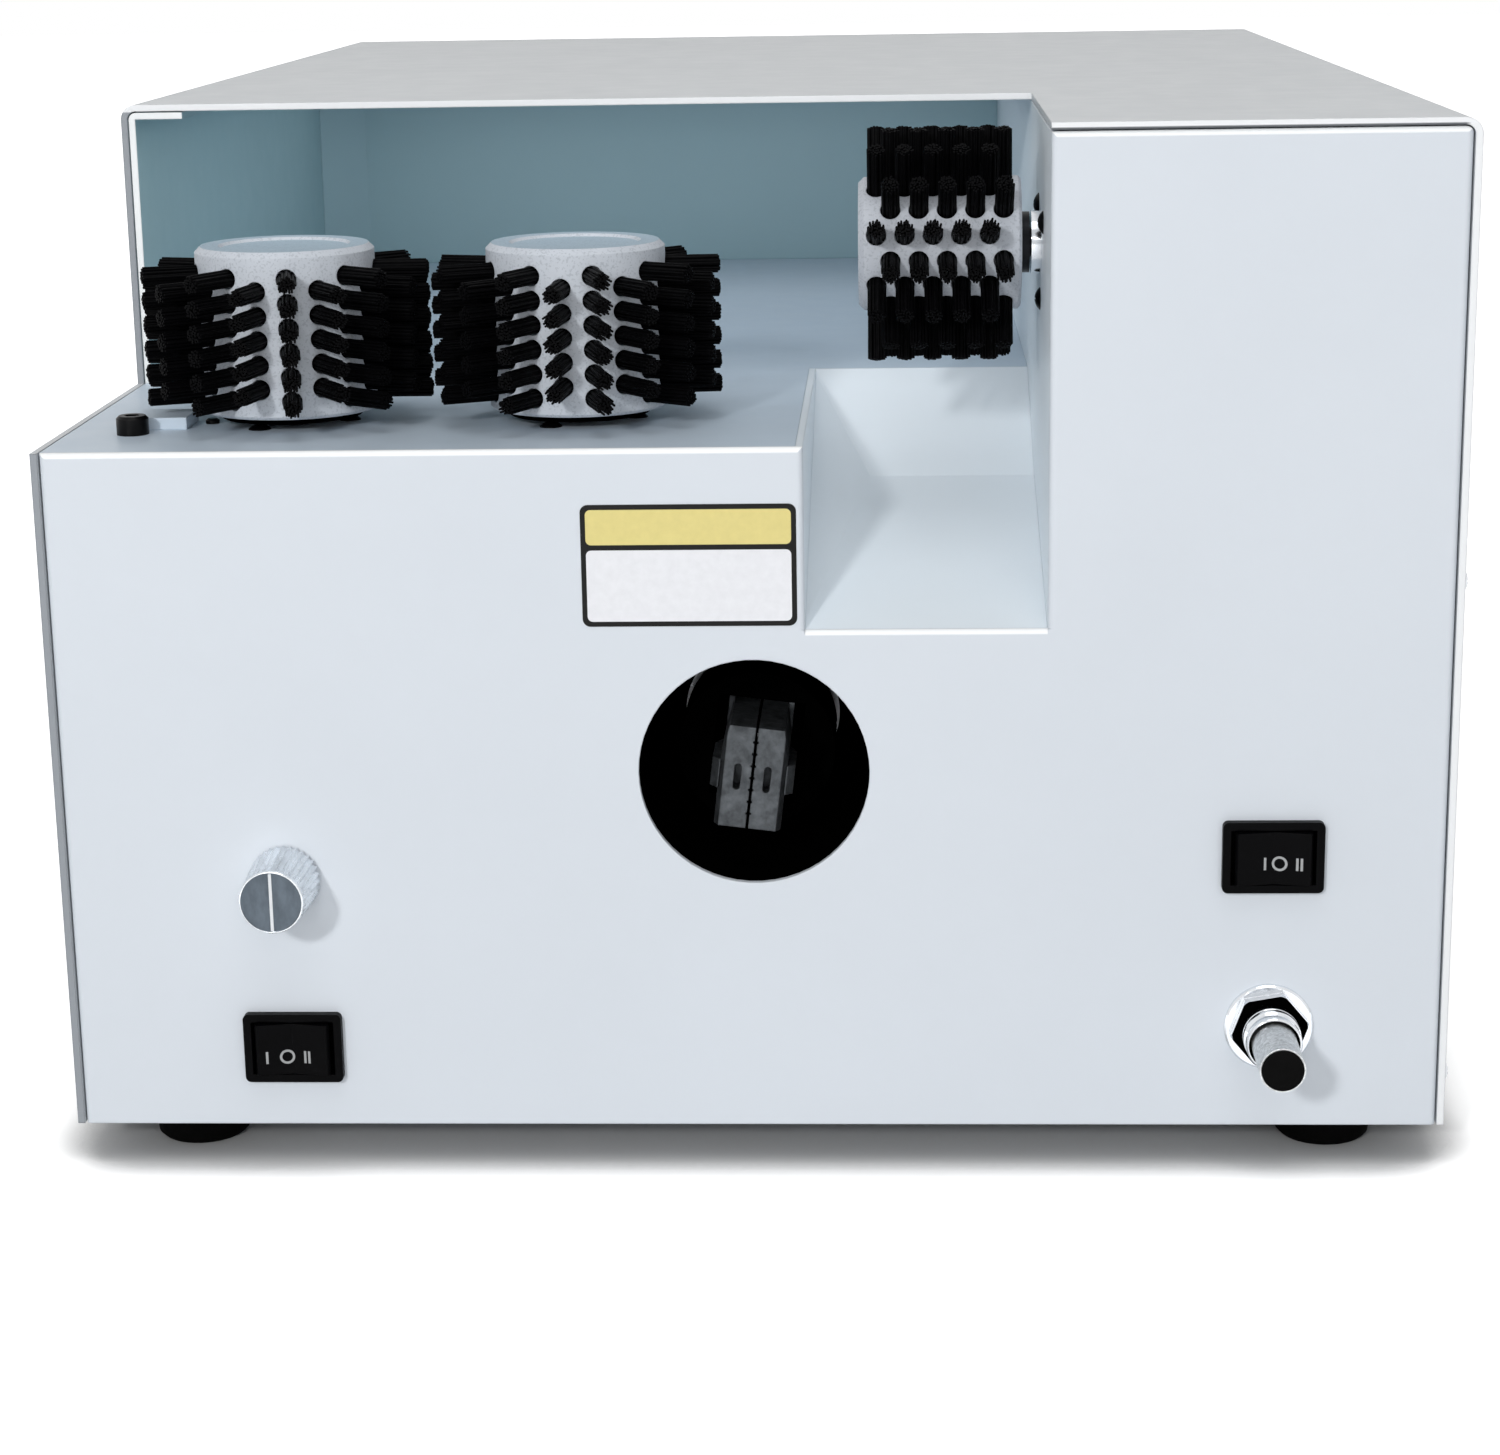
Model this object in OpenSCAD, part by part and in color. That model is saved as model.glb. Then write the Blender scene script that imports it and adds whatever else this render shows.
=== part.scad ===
// Bench machine that combs out stranded wire with three brush wheels and twists it in a gripping head.
// X runs to the right, Y from front to back, Z up; lengths are in millimetres.
// The origin is on the surface it stands on, at the middle of the whole machine.

/* [Housing] */
// Width of the housing
body_w = 292; // [270:1:340]
// Depth of the housing
body_d = 420; // [400:1:480]
// Height of the housing without its feet
body_h = 210; // [195:1:240]
// Thickness of the sheet metal
sheet_t = 1.5; // [1:0.1:2]
// Gap between the cover and what it covers
seam_gap = 0.3; // [0.2:0.05:0.5]
// Outer radius of the cover's bent edges
bend_r = 3.4; // [2.8:0.1:4.5]
// Width of the turned edges of the sheets
flange_w = 12.4; // [10:0.1:15]
// Height of the base pan's front and rear edges
pan_lip_h = 8; // [6:0.5:8]
// Height of the base pan's side edges
pan_side_h = 16; // [14:0.5:20]

/* [Brush deck] */
// Height of the deck above the bottom of the housing
deck_h = 146; // [142:0.1:152]
// Width of the tower to the right of the deck
tower_w = 84.2; // [79:0.1:91]
// Distance from the front face to the cover's cut-back edge
setback_d = 97; // [90:0.5:110]
// Distance from the rear of the housing to the bay's rear wall
bay_in = 73; // [60:1:95]
// Width of the slanted corner at the left end of the bay's rear wall
corner_in = 12; // [6:0.5:20]
// Width of the notch beside the tower
notch_w = 49.7; // [46:0.1:54]
// Depth of the notch
notch_d = 111; // [100:0.5:120]
// Height of the notch's sill above the bottom of the housing
sill_h = 108; // [105:0.1:113]
// Distance from the front face to the fold between the two slopes
fold_d = 70; // [60:0.5:80]
// Height of that fold above the bottom of the housing
fold_h = 127.5; // [123:0.1:131]
// Distance from the notch's left wall to the left end of the fold
fold_in = 13; // [8:0.5:18]

/* [Feet] */
// Radius of a rubber foot at its top
foot_r = 11.2; // [10.5:0.1:12.5]
// Radius of a rubber foot at its bottom
foot_tip_r = 10; // [9:0.1:10.4]
// Height of a rubber foot
foot_h = 9; // [8:0.5:14]
// Distance from the side of the housing to a foot's centre
foot_in_x = 23; // [20:0.5:32]
// Distance from the front or rear of the housing to a foot's centre
foot_in_y = 20; // [18:0.5:28]

/* [Upright brushes] */
// Radius of an upright brush hub
hub_r = 19; // [17:0.1:21]
// Height of an upright brush hub
hub_l = 35; // [34:0.1:38]
// Radius over the tufts of an upright brush
brush_r = 30.8; // [28:0.1:30.8]
// Distance between the axes of the upright brushes
brush_pitch = 62.1; // [62:0.1:66]
// Distance from the left side of the housing to the left brush's axis
brush_in_x = 47.1; // [45:0.1:51]
// Distance from the front face to the upright brushes' axes
brush_in_y = 40; // [36:0.5:46]
// Columns of tufts around an upright brush
column_n = 18; // [12:2:18]
// Tufts in the longer columns
column_tufts = 6; // [4:1:6]
// Spacing of the tufts along a column
tuft_pitch = 5.1; // [4.8:0.1:5.6]
// Radius of a tuft
tuft_r = 2.1; // [1.5:0.05:2.2]
// Depth of the hole that holds a tuft
tuft_seat = 3; // [2:0.5:4]
// Distance of the middle of the tuft columns below the middle of the hub
column_drop = 0.8; // [0:0.1:1]
// Height of the hub's underside above the deck
hub_lift = 3; // [2.8:0.1:4]

/* [Cross brush] */
// Radius of the cross brush hub
cross_hub_r = 14; // [12.5:0.1:15]
// Length of the cross brush hub
cross_hub_l = 34.2; // [32:0.1:35]
// Radius over the tufts of the cross brush
cross_brush_r = 24.8; // [22:0.1:25]
// Distance from the front face to the cross brush's axis
cross_in_y = 45; // [40:0.5:50]
// Height of the cross brush's axis above the bottom of the housing
cross_h = 182; // [180:0.5:183]
// Gap between the cross brush hub and the tower wall
cross_gap = 4.4; // [4:0.1:6]
// Rows of tufts around the cross brush
row_n = 16; // [12:2:16]
// Tufts in a row of the cross brush
row_tufts = 5; // [3:1:5]
// Spacing of the tufts along a row
row_pitch = 5.9; // [5.4:0.1:6]

/* [Brush motors] */
// Radius of a brush motor's gearbox
gear_r = 18.5; // [17:0.1:20]
// Length of a brush motor's gearbox
gear_l = 20; // [16:0.5:24]
// Radius of a brush motor's can
can_r = 15.5; // [12:0.1:16]
// Length of a brush motor's can
can_l = 20; // [14:0.5:22]
// Radius of a brush arbor
arbor_r = 3; // [2.5:0.1:4]
// Radius of the circle of motor screws
motor_pcr = 12.2; // [11.8:0.1:13]
// Radius of the dark flange under an upright brush hub
arbor_flange_r = 15; // [14:0.1:17]
// Radius of a motor screw's head
motor_screw_r = 2.4; // [2:0.1:2.5]
// Height of a motor screw's head
motor_screw_h = 1.2; // [1:0.1:1.4]

/* [Twist port] */
// Distance of the port's centre to the right of the housing's middle
port_x = 1.2; // [-4:0.1:6]
// Height of the port's centre above the bottom of the housing
port_h = 77.9; // [75:0.1:79]
// Radius of the port
port_r = 24; // [23:0.1:25]
// Length of the dark tube behind the port
tube_l = 60; // [56:0.5:61]
// Distance of the spindle to the right of the housing's middle
spindle_x = 0.4; // [-1:0.1:2]
// Height of the spindle's axis above the bottom of the housing
spindle_h = 74.4; // [73:0.1:77]
// Angle at which the gripping head stands
head_tilt = 7; // [0:1:20]

/* [Gripping head] */
// Distance from the front face to the jaws
jaw_y = 8; // [6:0.5:12]
// Distance from the jaws' front to their pivots
jaw_reach = 30; // [28:0.5:34]
// Width of one jaw
jaw_w = 6.8; // [6:0.1:7.2]
// Height of a jaw
jaw_h = 22; // [18:0.5:24]
// Gap between the closed jaws
jaw_split = 0.6; // [0.4:0.1:1]
// Width of a jaw's side lug
lug_w = 1.7; // [1:0.1:2.5]
// Height of a jaw's side lug
lug_h = 6.3; // [4:0.1:8]
// Radius of a jaw's pivot pin
pin_r = 1.5; // [1.2:0.1:1.6]
// Angle through which a jaw opens
jaw_open = 8; // [4:0.5:9]
// Travel of the push rod that opens the jaws fully
rod_travel = 4.8; // [4.8:0.1:6]
// Radius of the chuck body
chuck_r = 17; // [16.5:0.1:18]
// Length of the chuck body
chuck_l = 24; // [22:0.5:26]
// Radius of the push rod
rod_r = 2.7; // [2.5:0.05:2.8]

/* [Spindle] */
// Radius of the spindle and of the bearings' bore
spindle_r = 7.5; // [7:0.1:8]
// Radius of the bearings outside
bearing_r = 17.5; // [17:0.1:19]
// Width of a bearing
bearing_w = 11; // [10:0.5:12]
// Length of the bearing block
block_l = 56; // [50:0.5:58]
// Width of the bearing block
block_w = 56; // [50:0.5:60]
// Running clearance of a round piece in its bore
run_gap = 0.05; // [0.02:0.01:0.1]
// Clearance of a seated round piece in its bore
seat_gap = 0.02; // [0.01:0.01:0.03]
// Clearance between moving pieces that don't guide each other
free_gap = 0.3; // [0.25:0.05:0.4]
// Radius of the belt pulleys
pulley_r = 16; // [14:0.5:18]
// Grooves around a belt pulley
pulley_n = 24; // [18:1:28]
// Width of a belt pulley between its rims
pulley_w = 12; // [10:0.5:14]
// Thickness of the belt
belt_t = 1.6; // [1.2:0.1:2]

/* [Twist motor] */
// Distance from the spindle to the motor's axis
motor_off = 74.6; // [70:0.1:80]
// Radius of the twist motor
motor_r = 26; // [22:0.5:30]
// Length of the twist motor
motor_l = 80; // [60:1:100]
// Thickness of the motor's bracket
bracket_t = 3; // [2:0.5:4]

/* [Controls] */
// Width of a rocker switch
switch_w = 21; // [20:0.1:22]
// Height of a rocker switch
switch_h = 15.2; // [14.5:0.1:16]
// Angle to which a rocker tips
rocker_tip = 12; // [8:1:13]
// Radius of the speed knob at the panel
knob_r = 7.6; // [7.2:0.1:9]
// Radius of the speed knob's front face
knob_face_r = 6.7; // [6:0.1:7]
// Length of the speed knob
knob_l = 16; // [14:0.5:18]
// Ribs around the speed knob
knob_ribs = 32; // [18:1:36]
// Distance from the left side of the housing to the power switch and to the knob
left_control_in = 48; // [41:0.5:57]
// Distance from the right side of the housing to the direction switch and to the socket
right_control_in = 37.4; // [31:0.1:47]
// Height of the power switch above the bottom of the housing
power_switch_h = 17.8; // [17.8:0.1:21]
// Height of the direction switch above the bottom of the housing
direction_switch_h = 59.6; // [51:0.1:71]
// Height of the knob above the bottom of the housing
knob_h = 55; // [45:0.5:71]
// Height of the socket above the bottom of the housing
socket_h = 22.2; // [21:0.1:31]
// Size across the corners of the socket's nut
nut_size = 16.6; // [15.4:0.1:18]
// Radius of the socket's bush
bush_r = 6; // [5:0.1:6.2]
// Radius of the socket's sleeve
sleeve_r = 4.7; // [4.4:0.1:4.9]
// Distance that the socket stands out of the panel
socket_reach = 27; // [24:0.5:30]

/* [Power] */
// Width of the mains inlet's flange
inlet_w = 32; // [30:0.5:36]
// Height of the mains inlet's flange
inlet_h = 24; // [22:0.5:28]
// Thickness of the mains inlet's flange
inlet_t = 3; // [2:0.5:4]
// Cooling slots in one row of the rear panel
vent_n = 9; // [4:1:12]

/* [Hidden] */
$fn = 48;

// Colours
paint = [0.83, 0.87, 0.90];
nylon = [0.78, 0.80, 0.82];
black = [0.06, 0.06, 0.07];
steel = [0.62, 0.63, 0.65];
bright = [0.85, 0.86, 0.88];
dark_steel = [0.22, 0.23, 0.25];

// Housing planes
bay_d = body_d - bay_in;
floor_z = foot_h;
pan_top = floor_z + sheet_t;
deck_z = floor_z + deck_h;
top_z = floor_z + body_h;
inner_x = body_w / 2 - sheet_t - seam_gap;
inner_top = top_z - sheet_t - seam_gap;
fit_r = bend_r - sheet_t - seam_gap;
edge_r = 0.8 * sheet_t;
tower_x = body_w / 2 - tower_w;
notch_x = tower_x - notch_w;
sill_z = floor_z + sill_h;
fold_z = floor_z + fold_h;
rear_in = body_d - sheet_t;
rear_reach = inlet_t;
front_y = -(body_d + rear_reach - socket_reach) / 2;
eps = 0.01;
cut = 1;

// Upright brushes
left_brush_x = brush_in_x - body_w / 2;
right_brush_x = left_brush_x + brush_pitch;
hub_z = deck_z + hub_lift;
left_brush_turn = -79.15;
right_brush_turn = -74.27;
motor_boss_r = 6;
arbor_depth = 12;
motor_screw_n = 3;
motor_screw_hole = 1.5;
motor_screw_l = 4;

// Cross brush
cross_z = floor_z + cross_h;
cross_hub_x = tower_x - cross_gap - cross_hub_l;
cross_brush_turn = 13;
boss_r = 6.6;
boss_t = 2.2;

// Twist head
port_z = floor_z + port_h;
spindle_z = floor_z + spindle_h;
tube_t = 2;
tube_flange_w = 4;
tube_in_r = port_r + 0.5;
pivot_y = jaw_y + jaw_reach;
pivot_u = jaw_split / 2 + jaw_w * 0.7;
tail_u = rod_r + free_gap;
tail_l = 12;
jaw_back_y = pivot_y - 4;
chuck_y = pivot_y - 6;
chuck_back_y = chuck_y + chuck_l;
pocket_back_y = pivot_y + tail_l + 2;
cone_y = pivot_y + tail_l;
cone_slope = 0.35;
cone_tip_r = 0.7;
cone_l = (rod_r - cone_tip_r) / cone_slope;
spindle_flange_r = 13;
spindle_flange_t = 4;
block_y = chuck_back_y + spindle_flange_t + 4;
block_back_y = block_y + block_l;
spindle_end_y = block_back_y + 30;
block_foot_t = 8;
bolt_r = 2.5;
pulley_y = block_back_y + 6;
rim_t = 1;
rim_h = 1.6;
groove_r = 1.1;
ball_r = 2.6;
ball_n = 8;
ball_pitch_r = (spindle_r + bearing_r) / 2;
ring_t = 2.9;
motor_x = spindle_x + motor_off;
bracket_y = pulley_y + pulley_w + 5;
motor_shaft_r = 4;
motor_nose_r = motor_shaft_r + 6;
motor_rim = 10;
bracket_foot = 50;
collar_y = spindle_end_y + 8;
collar_r = 8;
collar_t = 3;
cup_r = 11.5;
cup_wall = 2.2;
cup_back_y = collar_y + collar_t + free_gap + 4;
plunger_r = 6;
spring_wire_r = 0.8;
spring_r = 8.6;
spring_turns = 5;
solenoid_y = cup_back_y + 19;
solenoid_w = 34;
solenoid_h = 30;
solenoid_l = 50;
plunger_in = 30;
shaft_reach = 8;
bracket_side = 6;

// Controls
left_switch_x = left_control_in - body_w / 2;
left_switch_z = floor_z + power_switch_h;
right_switch_x = body_w / 2 - right_control_in;
right_switch_z = floor_z + direction_switch_h;
knob_x = left_switch_x;
knob_z = floor_z + knob_h;
socket_x = right_switch_x;
socket_z = floor_z + socket_h;
bezel_t = 2;
switch_wall = 1.7;
switch_depth = 16;
rocker_r = switch_w / 2 - switch_wall - free_gap;
rocker_back = 7;
pot_r = 8.5;
pot_bush_r = 3.5;
nut_t = 3.4;
washer_w = 1;
washer_t = 1.2;
mouth_r = bush_r - 0.7;
mouth_d = 2;

// Power
inlet_x = 51 - body_w / 2;
inlet_z = floor_z + 37;
inlet_cut_w = 27.6;
inlet_cut_h = 20;
inlet_depth = 20;
transformer_in_x = 60;
transformer_in_y = 120;
board_in_x = 70;
board_in_y = 100;

module placed() {
    translate([0, front_y, 0])
        children();
}

module rod_x(y, z, x0, x1, r) {
    translate([x0, y, z])
        rotate([0, 90, 0])
            cylinder(r = r, h = x1 - x0);
}

module rod_y(x, z, y0, y1, r) {
    translate([x, y0, z])
        rotate([-90, 0, 0])
            cylinder(r = r, h = y1 - y0);
}

module rod_z(x, y, z0, z1, r) {
    translate([x, y, z0])
        cylinder(r = r, h = z1 - z0);
}

module block(x0, x1, y0, y1, z0, z1) {
    translate([x0, y0, z0])
        cube([x1 - x0, y1 - y0, z1 - z0]);
}

// Flat outline drawn in X and Z, given a thickness along Y from y0 to y1
module slab_y(y0, y1) {
    translate([0, y1, 0])
        rotate([90, 0, 0])
            linear_extrude(y1 - y0)
                children();
}

// Flat outline drawn in Y and Z, given a thickness along X from x0 to x1
module slab_x(x0, x1) {
    translate([x0, 0, 0])
        rotate([90, 0, 90])
            linear_extrude(x1 - x0)
                children();
}

module rounded_rect(w, h, r) {
    for (sx = [-1, 1], sy = [-1, 1])
        translate([sx * (w / 2 - r), sy * (h / 2 - r)])
            circle(r);
    square([w - 2 * r, h], center = true);
    square([w, h - 2 * r], center = true);
}

// Housing

module front_outline() {
    polygon([
        [-inner_x, floor_z], [inner_x, floor_z], [inner_x, inner_top], [tower_x, inner_top],
        [tower_x, sill_z], [notch_x, sill_z], [notch_x, deck_z], [-inner_x, deck_z]
    ]);
}

// What fits inside the cover with its bent corners
module inner_outline() {
    intersection() {
        cover_outline(2 * inner_x, inner_top, fit_r);
        translate([-inner_x, floor_z])
            square([2 * inner_x, inner_top - floor_z]);
    }
}

module switch_hole(x, z) {
    translate([x, z])
        square([switch_w - 2, switch_h - 2], center = true);
}

// Cuts a rounded edge at the origin out of a body that lies on the given side of it along each axis
module edge_cut(side_u, side_v) {
    difference() {
        translate([side_u > 0 ? -cut : -edge_r, side_v > 0 ? -cut : -edge_r])
            square(edge_r + cut);
        translate([side_u * edge_r, side_v * edge_r])
            circle(edge_r);
    }
}

// Rounds the front edges along the top and the sides of the front panel
module front_edge_cuts() {
    for (e = [[-inner_x, notch_x, deck_z], [notch_x, tower_x, sill_z], [tower_x, inner_x, inner_top]])
        slab_x(e[0], e[1])
            translate([0, e[2]])
                edge_cut(1, -1);
    for (e = [
        [-inner_x, floor_z, deck_z, 1], [notch_x, sill_z, deck_z, -1],
        [tower_x, sill_z, inner_top, 1], [inner_x, floor_z, inner_top, -1]
    ])
        translate([e[0], 0, e[1] - eps])
            linear_extrude(e[2] - e[1] + 2 * eps)
                edge_cut(e[3], 1);
}

module front_panel() {
    color(paint) placed() difference() {
        union() {
            slab_y(0, sheet_t)
                intersection() {
                    front_outline();
                    inner_outline();
                }
            for (side = [-1, 1])
                side_flange(side, sheet_t - eps, flange_w,
                    side < 0 ? deck_z - 2 * sheet_t : inner_top - fit_r);
        }
        front_edge_cuts();
        slab_y(-cut, sheet_t + cut) {
            translate([port_x, port_z]) circle(port_r);
            switch_hole(left_switch_x, left_switch_z);
            switch_hole(right_switch_x, right_switch_z);
            translate([knob_x, knob_z]) circle(pot_bush_r + seat_gap);
            translate([socket_x, socket_z]) circle(bush_r + seat_gap);
        }
        for (z = front_screw_z)
            for_side_screws([sheet_t + flange_w / 2], z) screw_hole(screw_r + seat_gap);
    }
}

// Turned edge that lies along the inside of the cover's side
module side_flange(side, y0, width, z1) {
    x = side * (inner_x - sheet_t / 2);
    block(x - sheet_t / 2, x + sheet_t / 2, y0, y0 + width, pan_top + 1, z1);
}

module base_pan() {
    color(paint) placed() difference() {
        union() {
            block(-inner_x, inner_x, sheet_t, rear_in, floor_z, pan_top);
            block(-inner_x + sheet_t + 1, inner_x - sheet_t - 1, sheet_t, 2 * sheet_t,
                pan_top - eps, pan_top + pan_lip_h);
            block(-inner_x + sheet_t + 1, inner_x - sheet_t - 1, rear_in - sheet_t, rear_in,
                pan_top - eps, pan_top + pan_lip_h);
            for (side = [-1, 1])
                block(side * (inner_x - sheet_t / 2) - sheet_t / 2,
                    side * (inner_x - sheet_t / 2) + sheet_t / 2,
                    2 * flange_w, body_d - 2 * flange_w, pan_top - eps, pan_top + pan_side_h);
        }
        for_feet()
            translate([0, 0, floor_z - cut])
                cylinder(r = foot_screw_r + seat_gap, h = sheet_t + 2 * cut);
        for_side_screws(pan_screw_y, pan_screw_z)
            screw_hole(screw_r + seat_gap);
        for_block_bolts()
            translate([0, 0, -cut])
                cylinder(r = bolt_r + seat_gap, h = sheet_t + 2 * cut);
        for (x = rear_screw_x)
            rod_y(x, rear_screw_z, rear_in - 3 * sheet_t, rear_in + cut, screw_r + seat_gap);
    }
}

module for_feet() {
    for (x = [-1, 1], y = [foot_in_y, body_d - foot_in_y])
        translate([x * (body_w / 2 - foot_in_x), y, 0])
            children();
}

// Screws of the housing
screw_r = 1.5;
screw_head_r = 3;
screw_head_h = 1.8;
screw_l = 6;
pan_screw_y = [60, body_d / 2, body_d - 60];
pan_screw_z = pan_top + pan_side_h / 2;
front_screw_z = [pan_top + pan_side_h / 2, deck_z - 30];
rear_screw_x = [-110, 0, 110];
rear_screw_z = pan_top + pan_lip_h / 2;
foot_screw_r = 2;
foot_head_r = 4;
foot_head_h = 2.6;
foot_recess = 4;

// Places the children on each side, pointing outwards along X
module for_side_screws(ys, z) {
    for (side = [-1, 1], y = ys)
        translate([side * body_w / 2, y, z])
            rotate([0, 90 * side, 0])
                children();
}

module screw_hole(r) {
    translate([0, 0, -10])
        cylinder(r = r, h = 12);
}

module deck_plate() {
    color(paint) placed() difference() {
        union() {
            translate([0, 0, deck_z - sheet_t])
                linear_extrude(sheet_t)
                    polygon([
                        [-inner_x, sheet_t], [notch_x - sheet_t, sheet_t],
                        [notch_x - sheet_t, notch_d], [tower_x, notch_d],
                        [tower_x, bay_d + sheet_t], [-inner_x, bay_d + sheet_t]
                    ]);
            block(-inner_x, -inner_x + sheet_t, 2 * flange_w, bay_d + sheet_t,
                deck_z - flange_w, deck_z - eps);
        }
        for (x = [left_brush_x, right_brush_x])
            translate([x, brush_in_y, deck_z - sheet_t / 2]) {
                cylinder(r = motor_boss_r + seat_gap, h = 2 * sheet_t, center = true);
                motor_screw_places()
                    cylinder(r = motor_screw_hole + seat_gap, h = 2 * sheet_t, center = true);
            }
        rod_z(cap_x, cap_y, deck_z - 2 * sheet_t, deck_z + cut, cap_shank_r + seat_gap);
        rod_z(plug_x, plug_y, deck_z - 2 * sheet_t, deck_z + cut, plug_r + seat_gap);
    }
}

// Fittings at the left end of the deck
cap_left = 31.2;
cap_front = 16;
cap_x = left_brush_x - cap_left;
cap_y = brush_in_y - cap_front;
cap_r = 3.4;
cap_h = 4;
cap_shank_r = 2;
plug_left = 17;
plug_front = 2.5;
plug_x = left_brush_x - plug_left;
plug_y = brush_in_y - plug_front;
plug_r = 1;
plug_head_r = 1.5;
plug_head_h = 1.1;
stop_w = 11.8;
stop_d = 12;
stop_t = 2.6;
stop_left = 32.6;
stop_front = 11;
stop_x = left_brush_x - stop_left;
stop_y = brush_in_y - stop_front;

module motor_screw_places() {
    for (i = [0 : motor_screw_n - 1])
        rotate(i * 360 / motor_screw_n + 5)
            translate([motor_pcr, 0, 0])
                children();
}

// One folded sheet: a low slope, a steep slope, a three-cornered flank and the notch's left wall
module wire_ramp() {
    drop = sheet_t * 1.15;
    left = notch_x - sheet_t / 2;
    tops = [
        [left, notch_d, deck_z], [tower_x, notch_d, deck_z],
        [notch_x + fold_in, fold_d, fold_z], [tower_x, fold_d, fold_z],
        [left, sheet_t, sill_z], [tower_x, sheet_t, sill_z]
    ];
    points = concat(tops, [for (p = tops) p - [0, 0, drop]]);
    color(paint) placed() {
        polyhedron(points, [
            [0, 1, 3, 2], [2, 3, 5, 4], [0, 2, 4],
            [6, 8, 9, 7], [8, 10, 11, 9], [6, 10, 8],
            [0, 6, 7, 1], [1, 7, 9, 3], [3, 9, 11, 5], [5, 11, 10, 4], [4, 10, 6, 0]
        ]);
        slab_x(notch_x - sheet_t, notch_x)
            polygon([
                [sheet_t, sill_z - drop], [notch_d, deck_z - drop], [notch_d, deck_z],
                [sheet_t, deck_z]
            ]);
    }
}

module tower_wall() {
    color(paint) placed() difference() {
        slab_x(tower_x, tower_x + sheet_t)
            polygon([
                [sheet_t, sill_z - flange_w], [notch_d + flange_w, sill_z - flange_w],
                [notch_d + flange_w, deck_z - flange_w], [bay_d + sheet_t, deck_z - flange_w],
                [bay_d + sheet_t, inner_top], [sheet_t, inner_top]
            ]);
        rod_x(cross_in_y, cross_z, tower_x - cut, tower_x + 2 * sheet_t, motor_boss_r + seat_gap);
        translate([tower_x, cross_in_y, cross_z])
            rotate([0, 90, 0])
                motor_screw_places()
                    cylinder(r = motor_screw_hole + seat_gap, h = 4 * sheet_t, center = true);
    }
}

module bay_side_wall() {
    color(paint) placed() intersection() {
        union() {
            block(-inner_x, -inner_x + sheet_t, setback_d, bay_d, deck_z, inner_top);
            block(-inner_x, -inner_x + flange_w, setback_d, bay_d - corner_in - 1,
                inner_top - sheet_t, inner_top);
        }
        slab_y(setback_d, bay_d)
            inner_outline();
    }
}

// One sheet with a slanted part that meets the side wall
module bay_rear_wall() {
    left = sheet_t - inner_x;
    color(paint) placed() {
        translate([0, 0, deck_z])
            linear_extrude(inner_top - deck_z)
                polygon([
                    [tower_x, bay_d], [left + corner_in, bay_d], [left, bay_d - corner_in],
                    [left, bay_d - corner_in + sheet_t * sqrt(2)],
                    [left + corner_in - sheet_t * (sqrt(2) - 1), bay_d + sheet_t],
                    [tower_x, bay_d + sheet_t]
                ]);
        block(left + corner_in, tower_x, bay_d, bay_d + flange_w, inner_top - sheet_t, inner_top);
    }
}

module cover_outline(w, z1, r) {
    translate([0, z1 - w / 2])
        rounded_rect(w, w, r);
    translate([-w / 2, floor_z])
        square([w, z1 - floor_z - 2 * r]);
}

module outer_cover() {
    color(paint) placed() difference() {
        slab_y(0, body_d)
            difference() {
                intersection() {
                    cover_outline(body_w, top_z, bend_r);
                    translate([-body_w, floor_z]) square([2 * body_w, body_h]);
                }
                translate([0, -cut])
                    cover_outline(body_w - 2 * sheet_t, top_z - sheet_t + cut, bend_r - sheet_t);
            }
        block(-body_w, tower_x, -cut, setback_d, deck_z, top_z + cut);
        for_side_screws(pan_screw_y, pan_screw_z) screw_hole(screw_r + seat_gap);
        for (z = front_screw_z) {
            for_side_screws([sheet_t + flange_w / 2], z) screw_hole(screw_r + seat_gap);
            for_side_screws([rear_in - flange_w / 2], z) screw_hole(screw_r + seat_gap);
        }
    }
}

module rear_panel() {
    color(paint) placed() difference() {
        union() {
            slab_y(rear_in, body_d)
                inner_outline();
            for (side = [-1, 1])
                side_flange(side, rear_in - flange_w, flange_w + eps, inner_top - fit_r);
        }
        block(inlet_x - inlet_cut_w / 2, inlet_x + inlet_cut_w / 2, rear_in - cut, body_d + cut,
            inlet_z - inlet_cut_h / 2, inlet_z + inlet_cut_h / 2);
        for (x = rear_screw_x)
            rod_y(x, rear_screw_z, rear_in - cut, body_d + cut, screw_r + seat_gap);
        for (row = [0, 1], i = [0 : vent_n - 1])
            vent_slot(40 + (i - (vent_n - 1) / 2) * vent_pitch, deck_z - 70 + row * 75);
        for (z = front_screw_z)
            for_side_screws([rear_in - flange_w / 2], z) screw_hole(screw_r + seat_gap);
    }
}

// Cooling slots of the rear panel
vent_pitch = 14;
vent_w = 4;
vent_l = 44;

module vent_slot(x, z) {
    rod_y(x, z - vent_l / 2, rear_in - cut, body_d + cut, vent_w / 2);
    rod_y(x, z + vent_l / 2, rear_in - cut, body_d + cut, vent_w / 2);
    block(x - vent_w / 2, x + vent_w / 2, rear_in - cut, body_d + cut, z - vent_l / 2,
        z + vent_l / 2);
}

module rubber_feet() {
    color(black) placed() for_feet()
        rotate_extrude()
            polygon([
                [foot_head_r + 0.5, 0], [foot_tip_r - 1, 0], [foot_tip_r, 1], [foot_r, foot_h],
                [foot_screw_r + 0.1, foot_h], [foot_screw_r + 0.1, foot_recess],
                [foot_head_r + 0.5, foot_recess]
            ]);
}

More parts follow.
